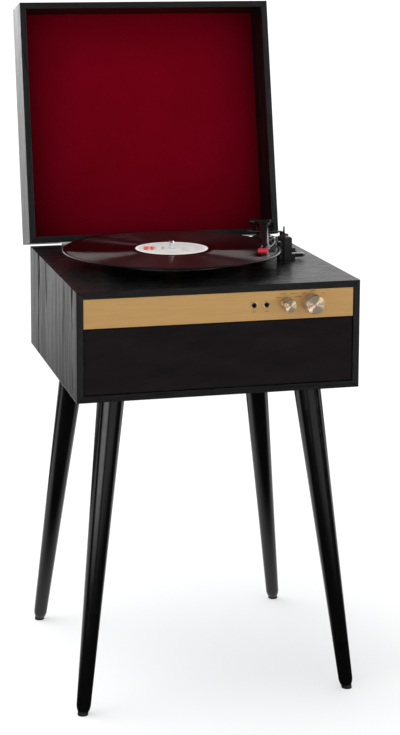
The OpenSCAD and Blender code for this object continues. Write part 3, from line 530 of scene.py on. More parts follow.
# ---------------------------------------------------------------- case and lid boards
dress(WRAP_V, "cabinet_side_left", edge=0.00045)
dress(WRAP_V_RIGHT, "cabinet_side_right", edge=0.00045)
dress(WRAP_X, "cabinet_deck", "cabinet_bottom", edge=0.00045, angle=40)
dress(WRAP_LID_SIDE, "lid_side_left", "lid_side_right", edge=0.00045)
dress(WRAP_LID_SIDE, "lid_top_panel", edge=0.00045)
dress(WRAP_LID_X, "lid_front_wall", "lid_rear_wall", edge=0.00045, angle=40)
dress(BLACK_BOARD, "cabinet_back", "front_baffle", "grille_board")
dress(PINE, "corner_blocks")
dress(GOLD, "front_fascia", edge=0.0003, angle=40)
dress(STEEL, "speaker_drivers", "selector_switch", "volume_control", "motor", "leg_bolts")
dress(ZINC, "leg_plates", edge=0.0003, angle=40)
dress(PAPER_CONE, "speaker_cones")
dress(CIRCUIT, "control_board")
dress(SATIN_PLASTIC, "jack_sockets", "terminal_plate", "dc_inlet")
dress(GOLD_RING, "jack_rings", edge=0.00025)
dress(CHROME, "rca_sockets", "spindle")
dress(BLACK_STEEL, "rear_screws", "platter")
dress(ZINC, "leg_plate_screws")
dress(BRASS, "bearing_housing", "motor_pulley")
dress(NICKEL, "hinge_leaves_cabinet", "hinge_leaves_lid", "hinge_pins", "hinge_screws_cabinet", "hinge_screws_lid")
dress(RUBBER, "foot_glides", "lid_bumpers", "motor_mounts", "drive_belt")
dress(LACQUER, "front_legs", "rear_legs")
dress(SATIN_PLASTIC, "arm_base", "arm_rest", "lift_platform", "speed_slider", edge=0.0004, angle=40)
dress(GLOSS_PLASTIC, "arm_yoke", "cue_lever", "cartridge", edge=0.0003, angle=40)
dress(RED_PLASTIC, "stylus", edge=0.0003, angle=40)


# ---------------------------------------------------------------- lid lining: a flocked sheet, slightly proud round its edge
def lid_point(x, y, z):
    """A point of the closed lid (hinge axis at y 0, rim at z 0), turned to where the open lid is."""
    c, s = math.cos(-LID_TILT), math.sin(-LID_TILT)
    return Vector((x, HINGE.y + y * c - z * s, HINGE.z + y * s + z * c))


def lining():
    x1, y0, y1 = 0.1807, -0.3481, -0.0117
    ztop = 0.05595
    nx, ny = 46, 43
    rows = []
    for i in range(nx + 1):
        for j in range(ny + 1):
            u, v = i / nx, j / ny
            x = -x1 + 2 * x1 * u
            y = y0 + (y1 - y0) * v
            e = min(x1 - abs(x), y - y0, y1 - y)
            puff = 0.0007 * (1 - math.exp(-e / 0.004))
            wob = 0.00012 * math.sin(31 * u + 2 * math.sin(9 * v)) * math.sin(27 * v + 1.3)
            rows.append((x, y, ztop - 0.0009 + 0.0006 - puff + wob * min(1, e / 0.02)))
    verts = [tuple(lid_point(*p)) for p in rows]
    back = [tuple(lid_point(x, y, ztop)) for x, y, z in rows]
    n = len(verts)
    faces = []

    def at(i, j):
        return i * (ny + 1) + j

    for i in range(nx):
        for j in range(ny):
            faces.append((at(i, j), at(i + 1, j), at(i + 1, j + 1), at(i, j + 1)))
            faces.append((n + at(i, j), n + at(i, j + 1), n + at(i + 1, j + 1), n + at(i + 1, j)))
    for i in range(nx):
        for j in (0, ny):
            faces.append((at(i, j), at(i + 1, j), n + at(i + 1, j), n + at(i, j)))
    for j in range(ny):
        for i in (0, nx):
            faces.append((at(i, j), at(i, j + 1), n + at(i, j + 1), n + at(i, j)))
    o = add("lid_lining_sheet", verts + back, faces, FLOCK, "lid", angle=60, slot="red_lining")
    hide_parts("lid_lining")


lining()


# ---------------------------------------------------------------- grille cloth, stretched over its board and turned back
def grille():
    lo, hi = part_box("grille_cloth")
    front, back = lo.y, hi.y
    r = 0.0011
    xs, zs = [], []
    nx, nz = 90, 22
    for i in range(nx + 1):
        xs.append(lo.x + (hi.x - lo.x) * i / nx)
    for j in range(nz + 1):
        zs.append(lo.z + (hi.z - lo.z) * j / nz)
    # the path round an edge: flat front, rounded corner, return along the side
    def rim(d):
        """How far behind the front a point lies that is d inside the edge."""
        if d >= r:
            return 0.0
        return r - math.sqrt(max(0.0, r * r - (r - d) ** 2))

    verts, faces = [], []
    ins = [0.0, 0.00008, 0.0003, 0.0006, r]
    gx = sorted(set([lo.x + a for a in ins] + [hi.x - a for a in ins] + xs[1:-1]))
    gz = sorted(set([lo.z + a for a in ins] + [hi.z - a for a in ins] + zs[1:-1]))
    for x in gx:
        for z in gz:
            d = min(x - lo.x, hi.x - x, z - lo.z, hi.z - z)
            # the sag of the cloth into the two openings behind it
            sag = 0.0
            for s in (-1, 1):
                q = math.hypot(x - s * 0.105, z - (lo.z + hi.z) / 2) / 0.034
                if q < 1:
                    sag = max(sag, 0.00022 * (1 - q * q))
            verts.append((x, front + rim(d) + sag, z))
    w = len(gz)
    for i in range(len(gx) - 1):
        for j in range(len(gz) - 1):
            faces.append((i * w + j, (i + 1) * w + j, (i + 1) * w + j + 1, i * w + j + 1))
    # returns along the four sides
    edge = [i * w for i in range(len(gx))] + [(len(gx) - 1) * w + j for j in range(1, w)] + [i * w + w - 1 for i in range(len(gx) - 2, -1, -1)] + [j for j in range(w - 2, 0, -1)]
    base = len(verts)
    for k in edge:
        x, y, z = verts[k]
        verts.append((x, back - 0.0002, z))
    for k in range(len(edge)):
        j = (k + 1) % len(edge)
        faces.append((edge[k], edge[j], base + j, base + k))
    o = add("grille_cloth_sheet", verts, faces, CLOTH, "cabinet", angle=60, slot="cloth")
    so = o.modifiers.new("thick", "SOLIDIFY")
    so.thickness = 0.0006
    so.offset = -1
    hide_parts("grille_cloth")


grille()


# ---------------------------------------------------------------- slipmat
def slipmat():
    lo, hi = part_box("slipmat")
    R = (hi.x - lo.x) / 2
    prof = [(0.0037, 0), (R - 0.0004, 0), (R, 0.0005), (R, 0.0015), (R - 0.0005, hi.z - lo.z - 0.0001), (0.0037, hi.z - lo.z - 0.0001), (0.0037, 0)]
    v, f = lathe(prof, 128)
    o = add("slipmat_felt", v, f, FELT, "platter", at=(LP.x, LP.y, lo.z), slot="felt")
    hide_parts("slipmat")


slipmat()


# ---------------------------------------------------------------- record
def vinyl():
    m = Mat("vinyl_black", (0.002, 0.002, 0.0022), 0.3, spec=0.06, aniso=0.9, coat=0.28, coat_rough=0.05)
    tan = m.node("ShaderNodeTangent", direction_type="RADIAL", axis="Z")
    m.link(tan.outputs["Tangent"], m.b.inputs["Tangent"])
    t = m.node("ShaderNodeTexCoord")
    sep = m.node("ShaderNodeSeparateXYZ")
    m.link(t.outputs["Object"], sep.inputs["Vector"])
    r = m.math("SQRT", m.math("ADD", m.math("POWER", sep.outputs["X"], 2), m.math("POWER", sep.outputs["Y"], 2)))

    def rings(freq, detail=2.0, rough=0.6):
        c = m.node("ShaderNodeCombineXYZ")
        m.link(m.math("MULTIPLY", r, freq), c.inputs[0])
        return m.noise(c.outputs[0], 1, detail, rough)

    groove = rings(5200)
    loud = rings(420, 3)
    dust = m.noise(m.coords((1500, 1500, 1500)), 1, 2, 0.5)
    m.color(m.ramp(loud, [(0.35, (0.0010, 0.0010, 0.0011)), (0.65, (0.0026, 0.0025, 0.0027))]))
    m.rough(m.remap(m.math("ADD", m.math("MULTIPLY", loud, 0.75), m.math("MULTIPLY", dust, 0.25)), 0.3, 0.7, 0.28, 0.36))
    m.bump(groove, 0.12, 0.00005)
    m.bump(loud, 0.05, 0.0001)
    # the two walls of the groove, each a narrow mirror leaning in or out
    out = m.node("ShaderNodeCombineXYZ")
    m.link(m.math("DIVIDE", sep.outputs["X"], r), out.inputs[0])
    m.link(m.math("DIVIDE", sep.outputs["Y"], r), out.inputs[1])
    cut = m.math("MULTIPLY", m.math("GREATER_THAN", r, 58 * MM), m.math("LESS_THAN", r, 146.5 * MM))
    total = m.b.outputs[0]
    for lean in (-0.95, 0.95):
        v = m.node("ShaderNodeVectorMath", operation="SCALE")
        m.link(out.outputs[0], v.inputs[0])
        v.inputs["Scale"].default_value = lean
        up = m.node("ShaderNodeVectorMath", operation="ADD")
        m.link(v.outputs[0], up.inputs[0])
        up.inputs[1].default_value = (0, 0, 1)
        unit = m.node("ShaderNodeVectorMath", operation="NORMALIZE")
        m.link(up.outputs[0], unit.inputs[0])
        turn = m.node("ShaderNodeVectorTransform", vector_type="NORMAL", convert_from="OBJECT", convert_to="WORLD")
        m.link(unit.outputs[0], turn.inputs[0])
        wall = m.node("ShaderNodeBsdfAnisotropic")
        m.link(turn.outputs[0], wall.inputs["Normal"])
        m.link(tan.outputs["Tangent"], wall.inputs["Tangent"])
        wall.inputs["Anisotropy"].default_value = 0.75
        m.link(m.remap(loud, 0.3, 0.7, 0.21, 0.28), wall.inputs["Roughness"])
        grey = m.node("ShaderNodeMixRGB")
        grey.inputs[1].default_value = (0, 0, 0, 1)
        grey.inputs[2].default_value = (0.031, 0.029, 0.029, 1)
        m.link(m.math("MULTIPLY", cut, m.remap(loud, 0.3, 0.7, 0.75, 1.0)), grey.inputs[0])
        m.link(grey.outputs[0], wall.inputs["Color"])
        both = m.node("ShaderNodeAddShader")
        m.link(total, both.inputs[0])
        m.link(wall.outputs[0], both.inputs[1])
        total = both.outputs[0]
    m.link(total, next(n for n in m.m.node_tree.nodes if n.bl_idname == "ShaderNodeOutputMaterial").inputs["Surface"])
    return m.m


VINYL = vinyl()


def label_paper():
    """A plain paper label: off-white with a red field on one side of the hole and grey rules, no lettering."""
    m = Mat("label_paper", (0.62, 0.57, 0.50), 0.5, spec=0.4)
    t = m.node("ShaderNodeTexCoord")
    sep = m.node("ShaderNodeSeparateXYZ")
    m.link(t.outputs["Object"], sep.inputs["Vector"])
    turn = math.radians(-13.4)
    # the print lies turned on the disc
    x = m.math("ADD", m.math("MULTIPLY", sep.outputs["X"], math.cos(turn)), m.math("MULTIPLY", sep.outputs["Y"], math.sin(turn)))
    y = m.math("ADD", m.math("MULTIPLY", sep.outputs["X"], -math.sin(turn)), m.math("MULTIPLY", sep.outputs["Y"], math.cos(turn)))
    r = m.math("SQRT", m.math("ADD", m.math("POWER", x, 2), m.math("POWER", y, 2)))

    def within(v, a, b):
        return m.math("MULTIPLY", m.math("GREATER_THAN", v, a), m.math("LESS_THAN", v, b))

    def rect(x0, x1, y0, y1):
        return m.math("MULTIPLY", within(x, x0 * MM, x1 * MM), within(y, y0 * MM, y1 * MM))

    def either(*masks):
        k = masks[0]
        for q in masks[1:]:
            k = m.math("MAXIMUM", k, q)
        return k

    fibre = m.noise(m.coords((900, 900, 900)), 1, 3, 0.6)
    cloud = m.noise(m.coords((60, 60, 60)), 1, 3, 0.6)
    c = m.ramp(m.math("ADD", m.math("MULTIPLY", fibre, 0.5), m.math("MULTIPLY", cloud, 0.5)), [(0.35, (0.53, 0.52, 0.51)), (0.65, (0.62, 0.605, 0.59))])
    c = m.mix(m.math("GREATER_THAN", r, 0.0462), c, (0.76, 0.73, 0.70))
    red = either(rect(-39, -31.5, -13, 14), rect(-30.5, -24, -13, 14), rect(-23, -21.5, -6, 9))
    c = m.mix(m.math("MULTIPLY", red, 0.92), c, (0.72, 0.12, 0.075))
    c = m.mix(either(rect(-37.5, -34, -12, -5), rect(-29, -26, -12, -5), rect(-36, -33, 3, 6), rect(-29, -27, 2, 8)), c, (0.22, 0.012, 0.012))
    grey = either(rect(-14.5, -10.5, -8, 12), *[rect(12 + 1.5 * (k % 2), 27 - 3 * (k % 3), -20 + 5.2 * k, -18.4 + 5.2 * k) for k in range(6)],
                  *[rect(31, 39 - 2 * (k % 2), -9 + 5 * k, -7.6 + 5 * k) for k in range(4)], rect(-7, 9, -33, -31.4), rect(-12, 14, -38.5, -37.2), rect(5, 11, 22, 24.5))
    c = m.mix(m.math("MULTIPLY", grey, 0.55), c, (0.17, 0.175, 0.19))
    m.color(c)
    m.bump(fibre, 0.12, 0.0001)
    return m.m


def record():
    z0, z1 = rec_lo.z, rec_hi.z
    R = (rec_hi.x - rec_lo.x) / 2
    th = z1 - z0
    prof = [(0.00362, 0.0), (0.05, 0.0), (0.0515, 0.0003), (R - 0.006, 0.0003), (R - 0.0045, 0.00002), (R - 0.0007, 0.0001), (R - 0.0001, 0.0006), (R, 0.00095), (R - 0.0001, 0.0013),
            (R - 0.0009, th - 0.00008), (R - 0.0030, th - 0.00004), (R - 0.0042, th - 0.00035)]
    # grooved land with the smooth gaps between tracks
    gaps = [0.1295, 0.1125, 0.0975, 0.0820, 0.0690]
    r = R - 0.0050
    h = th - 0.0004
    while r > 0.0600:
        near = min(abs(r - g) for g in gaps)
        prof.append((r, h - (0.00009 if near < 0.0009 else 0)))
        r -= 0.0009
    prof += [(0.0595, h), (0.0590, h - 0.0001), (0.0560, h - 0.0001), (0.0555, h + 0.00002), (0.0550, h - 0.0001), (0.0525, h - 0.0001), (0.0512, h + 0.0002), (0.0504, th - 0.00006), (0.0500, th - 0.00004),
             (0.00362, th - 0.00004), (0.00362, 0.0)]
    v, f = lathe(prof, 192)
    o = add("record_disc", v, f, VINYL, "platter", angle=50, at=(LP.x, LP.y, z0), slot="vinyl")
    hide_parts("record")
    lab = [(0.00365, th - 0.00004), (0.00365, th + 0.00008), (0.0500, th + 0.00008), (0.0502, th + 0.00002), (0.0500, th - 0.00004), (0.00365, th - 0.00004)]
    v, f = lathe(lab, 128)
    o = add("record_label", v, f, label_paper(), "platter", angle=40, at=(LP.x, LP.y, z0))


record()


# ---------------------------------------------------------------- knobs
def knob(name, node, body, metal, flutes):
    lo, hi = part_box(node)
    cx, cz = (lo.x + hi.x) / 2, (lo.z + hi.z) / 2
    back, front = fas_lo.y - 0.0006, lo.y
    R = (hi.x - lo.x) / 2
    L = back - front
    seg = flutes * 4
    # outline of the side: fine flutes between a plain collar and the bright front edge
    prof = [(0.0032, 0.0), (R - 0.0006, 0.0), (R, 0.0005), (R, 0.0018), (R - 0.0005, 0.0022), (R - 0.0005, L - 0.0026), (R - 0.0002, L - 0.0021),
            (R - 0.0002, L - 0.0006), (R - 0.00035, L - 0.00025), (R - 0.0006, L - 0.00004), (R - 0.0008, L), (R - 0.00095, L - 0.00002), (R - 0.00110, L - 0.000025),
            (R * 0.72, L - 0.00007), (R * 0.45, L - 0.00012), (R * 0.2, L - 0.00017), (0.0006, L - 0.0002), (0.0, L - 0.0002)]
    verts, faces, rings = [], [], []
    for i, (r, z) in enumerate(prof):
        if r <= 1e-9:
            rings.append([len(verts)])
            verts.append((0, -z, 0))
            continue
        ring = []
        for k in range(seg):
            t = 2 * math.pi * k / seg
            rr = r
            if i in (4, 5):
                rr = r + 0.00035 * (1 if k % 4 in (0, 1) else -0.6)
            ring.append(len(verts))
            verts.append((rr * math.cos(t), -z, rr * math.sin(t)))
        rings.append(ring)
    for a, b in zip(rings, rings[1:]):
        for k in range(seg):
            j = (k + 1) % seg
            faces.append((a[k], a[j], b[0]) if len(b) == 1 else (a[k], a[j], b[j], b[k]))
    # the shaft; the recess behind, round the bushing, is worked out but not drawn
    back_v = lathe([(0.0032, 0.0), (0.0066, 0.0), (0.0066, 0.0036), (0.0030, 0.0036), (0.0030, -0.0235), (0.0, -0.0235)], seg, "Y")
    o = add(name, verts, faces, metal, body, angle=28, at=(cx, back, cz), slot="gold")
    s = add(name + "_shaft", *lathe([(0.0, 0.0036), (0.0030, 0.0036), (0.0030, -0.0235), (0.0, -0.0235)], 32, "Y"), STEEL, body, at=(cx, back, cz))
    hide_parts(node)
    return o, Vector((cx, front, cz)), R


KNOB_METAL_V = spun("knob_spun_large", (0.88, 0.69, 0.49), 0.40, (0, 0, 0), "Y")
KNOB_METAL_S = spun("knob_spun_small", (0.88, 0.69, 0.49), 0.40, (0, 0, 0), "Y")
vol, vc, vR = knob("volume_knob_turned", "volume_knob", "volume", KNOB_METAL_V, 40)
sel, sc_, sR = knob("selector_knob_turned", "selector_knob", "selector", KNOB_METAL_S, 30)
NIB = plain("nib_gold", (0.9, 0.72, 0.42), 0.2, metal=1.0, grain_strength=0.02, vary=0.05)


def nib(name, centre, R, deg, body, size):
    a = math.radians(deg)
    d = Vector((math.sin(a), 0, math.cos(a)))
    s = Vector((math.cos(a), 0, -math.sin(a)))
    y0, y1 = centre.y - 0.00035, centre.y + 0.0030
    c = Vector((centre.x, 0, centre.z))
    pts = []
    w = size
    for u, t in ((R - 0.0048, 0.0), (R - 0.0040, w * 0.7), (R - 0.0004, w), (R + 0.0004, w * 0.7), (R + 0.0004, -w * 0.7), (R - 0.0004, -w), (R - 0.0040, -w * 0.7)):
        pts.append(c + d * u + s * t)
    v = [(p.x, y0 + 0.0001, p.z) for p in pts] + [(p.x, y1, p.z) for p in pts]
    n = len(pts)
    f = [tuple(range(n)), tuple(reversed(range(n, 2 * n)))] + [(k, (k + 1) % n, n + (k + 1) % n, n + k) for k in range(n)]
    o = add(name, v, f, NIB, body, smooth=False)
    return bevel(o, 0.00012, 2)


nib("volume_nib", vc, vR, 75, "volume", 0.0009)
nib("selector_nib", sc_, sR, -62, "selector", 0.0007)


# ---------------------------------------------------------------- marks on the fascia: dots and rules round the knobs, no lettering
INK = plain("mark_ink", (0.10, 0.055, 0.022), 0.5, grain_strength=0.05)


def marks():
    y = fas_lo.y
    parts = []

    def dot(x, z, r=0.00042):
        v, f = lathe([(0.0, 0.00006), (r, 0.00005), (r, -0.00005), (0.0, -0.00005)], 14, "Y")
        parts.append(([(a + x, b + y, c + z) for a, b, c in v], f))

    def dash(x, z, ang, length, w=0.00028):
        d = Vector((math.sin(ang), 0, math.cos(ang)))
        s = Vector((math.cos(ang), 0, -math.sin(ang)))
        c = Vector((x, y, z))
        q = [c + d * (length * a) + s * (w * b) for a, b in ((-0.5, -1), (0.5, -1), (0.5, 1), (-0.5, 1))]
        v = [(p.x, y - 0.00006, p.z) for p in q] + [(p.x, y + 0.00004, p.z) for p in q]
        parts.append((v, [(3, 2, 1, 0), (4, 5, 6, 7), (0, 1, 5, 4), (1, 2, 6, 5), (2, 3, 7, 6), (3, 0, 4, 7)]))

    for a in (-150, 150):
        a = math.radians(a)
        rr = vR + 0.0016
        dot(vc.x + rr * math.sin(a), vc.z + rr * math.cos(a), 0.0004)
    for a in (-60, -30, 0, 30):
        a = math.radians(a)
        rr = sR + 0.0016
        dot(sc_.x + rr * math.sin(a), sc_.z + rr * math.cos(a), 0.0004)
    # rows of tiny blocks where the panel is marked
    rng = random.Random(3)
    for kx, x, z, length in ((sc_.x, -5.4, 13.6, 8.0), (sc_.x, 8.9, 13.7, 8.6), (sc_.x, -11.6, 9.0, 6.4), (sc_.x, 15.1, 9.4, 9.2),
                             (vc.x, -10.8, 13.3, 5.6), (vc.x, 1.7, 16.4, 6.4), (vc.x, 16.3, 12.5, 5.0)):
        t = -length / 2
        while t < length / 2 - 0.5:
            w = 0.5 + 0.7 * rng.random()
            dash(kx + (x + t + w / 2) * MM, vc.z + z * MM, math.pi / 2, w * MM, (0.32 + 0.16 * rng.random()) * MM)
            t += w + 0.42
    # small rule under each jack
    for x in (0.045, 0.062):
        dash(x, vc.z - 0.0085, math.pi / 2, 0.005, 0.0003)
    v, f = merge(*parts)
    add("fascia_marks", v, f, INK, "cabinet", smooth=False)


marks()


# ---------------------------------------------------------------- tonearm: one moulded beam with its head, finger lift and trunnions
LIFT_METAL = plain("lift_metal", (0.34, 0.34, 0.34), 0.25, metal=0.8, grain_strength=0.04, vary=0.1)
CLIP_PLASTIC = plain("black_matt_plastic", (0.0035, 0.0035, 0.0037), 0.45, spec=0.22, grain=1800, grain_strength=0.08)


def arm():
    turn = Matrix.Rotation(-ARM_ANGLE, 4, "Z")
    place = Matrix.Translation(PIVOT) @ turn
    head = place @ Matrix.Translation((0, -0.205, 0)) @ Matrix.Rotation(-HEAD_TURN, 4, "Z")

    def section(m, s, w, lo, hi, crown=0.45, n=7):
        """A ring across the arm at distance s: flat underneath, rounded on top."""
        pts = []
        r = min(w, (hi - lo) / 2) * crown
        for k in range(n):
            a = math.pi * k / (n - 1)
            pts.append((0, 0))
        ring = []
        # right side up, over the top, left side down, along the underside
        ring.append((w * 0.86, lo))
        ring.append((w, lo + (hi - lo) * 0.16))
        ring.append((w, hi - r * 1.5))
        for k in range(n):
            a = math.radians(12 + (180 - 24) * k / (n - 1))
            ring.append((w * 0.98 * math.cos(a) / math.cos(math.radians(12)) * (0.985 if k in (0, n - 1) else 0.97), hi - r * 1.1 + r * 1.1 * math.sin(a)))
        ring.append((-w, hi - r * 1.5))
        ring.append((-w, lo + (hi - lo) * 0.16))
        ring.append((-w * 0.86, lo))
        ring.append((0, lo))
        return [tuple(m @ Vector((x, -s, z))) for x, z in ring]

    blk = [(-0.0119, 0.0100, AXLE - 0.0030, AXLE + 0.0027), (-0.0114, 0.0108, AXLE - 0.0044, AXLE + 0.0035), (-0.0100, 0.011, AXLE - 0.0049, AXLE + 0.0038), (0.0080, 0.011, AXLE - 0.0049, AXLE + 0.0038),
           (0.0091, 0.0109, AXLE - 0.0047, AXLE + 0.0036), (0.0096, 0.0106, AXLE - 0.0044, AXLE + 0.0030)]
    st = [(0.0100, 0.0100, AXLE - 0.0042, AXLE + 0.0026), (0.0115, 0.0096, AXLE - 0.0040, AXLE + 0.0026), (0.018, 0.0081, AXLE - 0.0034, AXLE + 0.0026), (0.026, 0.0063, AXLE - 0.0030, AXLE + 0.0026), (0.040, 0.0061, AXLE - 0.0030, AXLE + 0.0025),
          (0.075, 0.0057, AXLE - 0.0030, AXLE + 0.0023), (0.110, 0.0054, AXLE - 0.0030, AXLE + 0.0021), (0.150, 0.0051, AXLE - 0.0030, AXLE + 0.0015), (0.185, 0.0049, AXLE - 0.0029, AXLE + 0.0011),
          (0.197, 0.0050, AXLE - 0.0028, AXLE + 0.0011)]
    secs = [section(place, *s, 0.16) for s in blk] + [section(place, *s, 0.34) for s in st]
    hs = [(0.002, 0.0070, AXLE - 0.0026, AXLE + 0.0012), (0.006, 0.0076, AXLE - 0.0026, AXLE + 0.0012), (0.018, 0.0076, AXLE - 0.0026, AXLE + 0.0012), (0.025, 0.0075, AXLE - 0.0026, AXLE + 0.0010),
          (0.0285, 0.0060, AXLE - 0.0026, AXLE + 0.0006), (0.0290, 0.0052, AXLE - 0.0024, AXLE + 0.0002)]
    secs += [section(head, *s, 0.3) for s in hs]
    beam = loft(secs)
    parts = [beam]
    # trunnions
    v, f = lathe([(0.0, 0.015), (0.0012, 0.015), (0.0015, 0.0147), (0.0015, -0.0147), (0.0012, -0.015), (0.0, -0.015)], 24)
    parts.append(([tuple(place @ (Vector((z, x, y)) + Vector((0, 0, AXLE)))) for x, y, z in v], f))
    # finger lift: flat strip that curls out and up from the head
    strip = []
    for k in range(17):
        a = math.radians(-90 + 70 * k / 16)
        for_r = (0.0122, 0.0136)
        c = Vector((0.0026, 0, AXLE + 0.0136))
        w = 0.0025 - 0.0008 * (k / 16) ** 3
        pts = []
        for r, y in ((for_r[0], -w), (for_r[1], -w), (for_r[1], w), (for_r[0], w)):
            pts.append(tuple(head @ (c + Vector((r * math.cos(a), -0.0195 + y, r * math.sin(a))))))
        strip.append(pts)
    v, f = loft(strip)
    add("arm_finger_lift", v, f, LIFT_METAL, "arm", angle=50)
    v, f = merge(*parts)
    o = add("arm_moulded", v, f, GLOSS_PLASTIC, "arm", angle=40, slot="black_plastic")
    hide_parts("arm_beam")
    # two ribs on the head
    ribs = []
    for x in (-0.0035, 0.0035):
        ribs.append(moved(box_part((x - 0.0005, -0.024, AXLE + 0.0008), (x + 0.0005, -0.007, AXLE + 0.0016), 0.0002), head))
    v, f = merge(*ribs)
    add("arm_head_ribs", v, f, GLOSS_PLASTIC, "arm")


arm()
dress(CLIP_PLASTIC, "arm_clip", edge=0.0003, angle=40)


# ---------------------------------------------------------------- small things: screw heads, socket rings
def cross_head(centre, normal, r, spin=0.0):
    """A low domed screw head with a cross recess."""
    n = Vector(normal).normalized()
    q = n.to_track_quat("Z", "Y").to_matrix().to_4x4()
    m = Matrix.Translation(centre) @ q @ Matrix.Rotation(spin, 4, "Z")
    seg = 32
    w, l = r * 0.13, r * 0.55
    plus = []
    for k in range(4):
        a = Matrix.Rotation(math.pi / 2 * k, 3, "Z")
        for x, y in ((w, w), (l, w), (l, -w)):
            p = a @ Vector((x, y, 0))
            plus.append((p.x, p.y))
    order = sorted(range(12), key=lambda i: math.atan2(plus[i][1], plus[i][0]))
    plus = [plus[i] for i in order]
    verts, faces = [], []
    rings = [(r, 0.0), (r, r * 0.10), (r * 0.92, r * 0.2), (r * 0.72, r * 0.28)]
    for rr, z in rings:
        for k in range(seg):
            a = 2 * math.pi * k / seg
            verts.append((rr * math.cos(a), rr * math.sin(a), z))
    for i in range(len(rings) - 1):
        for k in range(seg):
            j = (k + 1) % seg
            faces.append((i * seg + k, i * seg + j, (i + 1) * seg + j, (i + 1) * seg + k))
    base = (len(rings) - 1) * seg
    top = len(verts)
    for x, y in plus:
        verts.append((x, y, r * 0.31))
    low = len(verts)
    for x, y in plus:
        verts.append((x * 0.75, y * 0.75, -r * 0.02))
    # fan between the last ring and the cross, by angle
    ring_a = [2 * math.pi * k / seg for k in range(seg)]
    plus_a = [math.atan2(y, x) % (2 * math.pi) for x, y in plus]
    idx = sorted(range(12), key=lambda i: plus_a[i])
    pa = [plus_a[i] for i in idx]
    i = j = 0
    while i < seg or j < 12:
        na = ring_a[i + 1] if i + 1 < seg else (2 * math.pi if i + 1 == seg else 99)
        nb = pa[j + 1] if j + 1 < 12 else (pa[0] + 2 * math.pi if j + 1 == 12 else 99)
        a0, b0 = base + i % seg, top + idx[j % 12]
        if (na <= nb and i < seg) or j >= 12:
            faces.append((a0, base + (i + 1) % seg, b0))
            i += 1
        else:
            faces.append((a0, top + idx[(j + 1) % 12], b0))
            j += 1
    for k in range(12):
        a, b = idx[k], idx[(k + 1) % 12]
        faces.append((top + a, top + b, low + b, low + a))
    faces.append(tuple(low + k for k in idx))
    faces.append(tuple(reversed(range(seg))))
    return [tuple(m @ Vector(p)) for p in verts], faces


def screws():
    rng = random.Random(5)
    back = CY + HALF_D
    rear = []
    for s in (-1, 1):
        for z in (21, 64, 109):
            rear.append(cross_head((s * 0.1735, back + 0.0001, TOP - 0.144 + z * MM), (0, 1, 0), 0.0031, rng.random() * 3))
    for s in (-1, 1):
        for k in (-1, 1):
            rear.append(cross_head(((-95 + s * 43) * MM, back + 0.0021, TOP - 0.144 + (52 + k * 21) * MM), (0, 1, 0), 0.0024, rng.random() * 3))
    v, f = merge(*rear)
    add("rear_screw_heads", v, f, BLACK_STEEL, "cabinet", angle=30, slot="black_steel")
    under = []
    for sx in (-1, 1):
        for sy in (-1, 1):
            for x in (-1, 1):
                for y in (-1, 1):
                    under.append(cross_head((sx * 0.134 + x * 0.0225, CY + sy * 0.126 + y * 0.0225, TOP - 0.144 - 0.0026), (0, 0, -1), 0.0035, rng.random() * 3))
    v, f = merge(*under)
    add("leg_screw_heads", v, f, ZINC, "cabinet", angle=30, slot="steel")
    for name, body, zs in (("hinge_heads_cabinet", "cabinet", (-6, -17.5)), ("hinge_heads_lid", "lid", (6.5, 17.5))):
        parts = []
        for s in (-1, 1):
            for k in (-1, 1):
                for z in zs:
                    x = s * 0.1225 + k * 0.014
                    if body == "cabinet":
                        parts.append(cross_head((x, HINGE.y - 0.0012 + 0.00005, HINGE.z + z * MM), (0, 1, 0), 0.0021, rng.random() * 3))
                    else:
                        p = lid_point(x, -0.0012 + 0.00005, z * MM)
                        q = lid_point(x, 1.0, z * MM) - lid_point(x, 0.0, z * MM)
                        parts.append(cross_head(p, q, 0.0021, rng.random() * 3))
        v, f = merge(*parts)
        add(name, v, f, NICKEL, body, angle=30, slot="nickel")
    # coloured rings of the two phono sockets
    for name, x, mat in (("phono_ring_red", -22, RED_RING), ("phono_ring_white", -4, WHITE_RING)):
        v, f = lathe([(0.0017, -0.0072), (0.0039, -0.0072), (0.0039, -0.0108), (0.0036, -0.0110), (0.0020, -0.0110), (0.0017, -0.0108), (0.0017, -0.0072)], 40, "Y")
        add(name, v, f, mat, "cabinet", at=((-95 + x) * MM, back, TOP - 0.144 + 0.052))


screws()

# ---------------------------------------------------------------- floor, light, camera
floor_mat = Mat("floor_pale", (0.93, 0.935, 0.94), 0.7, spec=0.1)
fn = floor_mat.noise(floor_mat.coords((2, 2, 2)), 1, 2, 0.5)
floor_mat.color(floor_mat.ramp(fn, [(0.3, (0.925, 0.93, 0.935)), (0.7, (0.94, 0.945, 0.95))]))
me = bpy.data.meshes.new("floor")
S = 60
me.from_pydata([(-S, -S, 0), (S, -S, 0), (S, S, 0), (-S, S, 0)], [], [(0, 1, 2, 3)])
floor = bpy.data.objects.new("floor", me)
me.materials.append(floor_mat.m)
bpy.context.scene.collection.objects.link(floor)

scene = bpy.context.scene
scene.view_settings.view_transform = "Standard"
scene.view_settings.look = "None"

# a white studio: plain white as seen, and soft walls of light of different strength for the object
world = bpy.data.worlds.new("studio")
scene.world = world
world.use_nodes = True
wt = world.node_tree
for n in list(wt.nodes):
    wt.nodes.remove(n)


def wnode(kind, **props):
    n = wt.nodes.new(kind)
    for k, v in props.items():
        setattr(n, k, v)
    return n


def wmath(op, a, b=None, clamp=False):
    n = wnode("ShaderNodeMath", operation=op, use_clamp=clamp)
    for k, v in enumerate((a, b)):
        if v is None:
            continue
        if isinstance(v, (int, float)):
            n.inputs[k].default_value = v
        else:
            wt.links.new(v, n.inputs[k])
    return n.outputs[0]


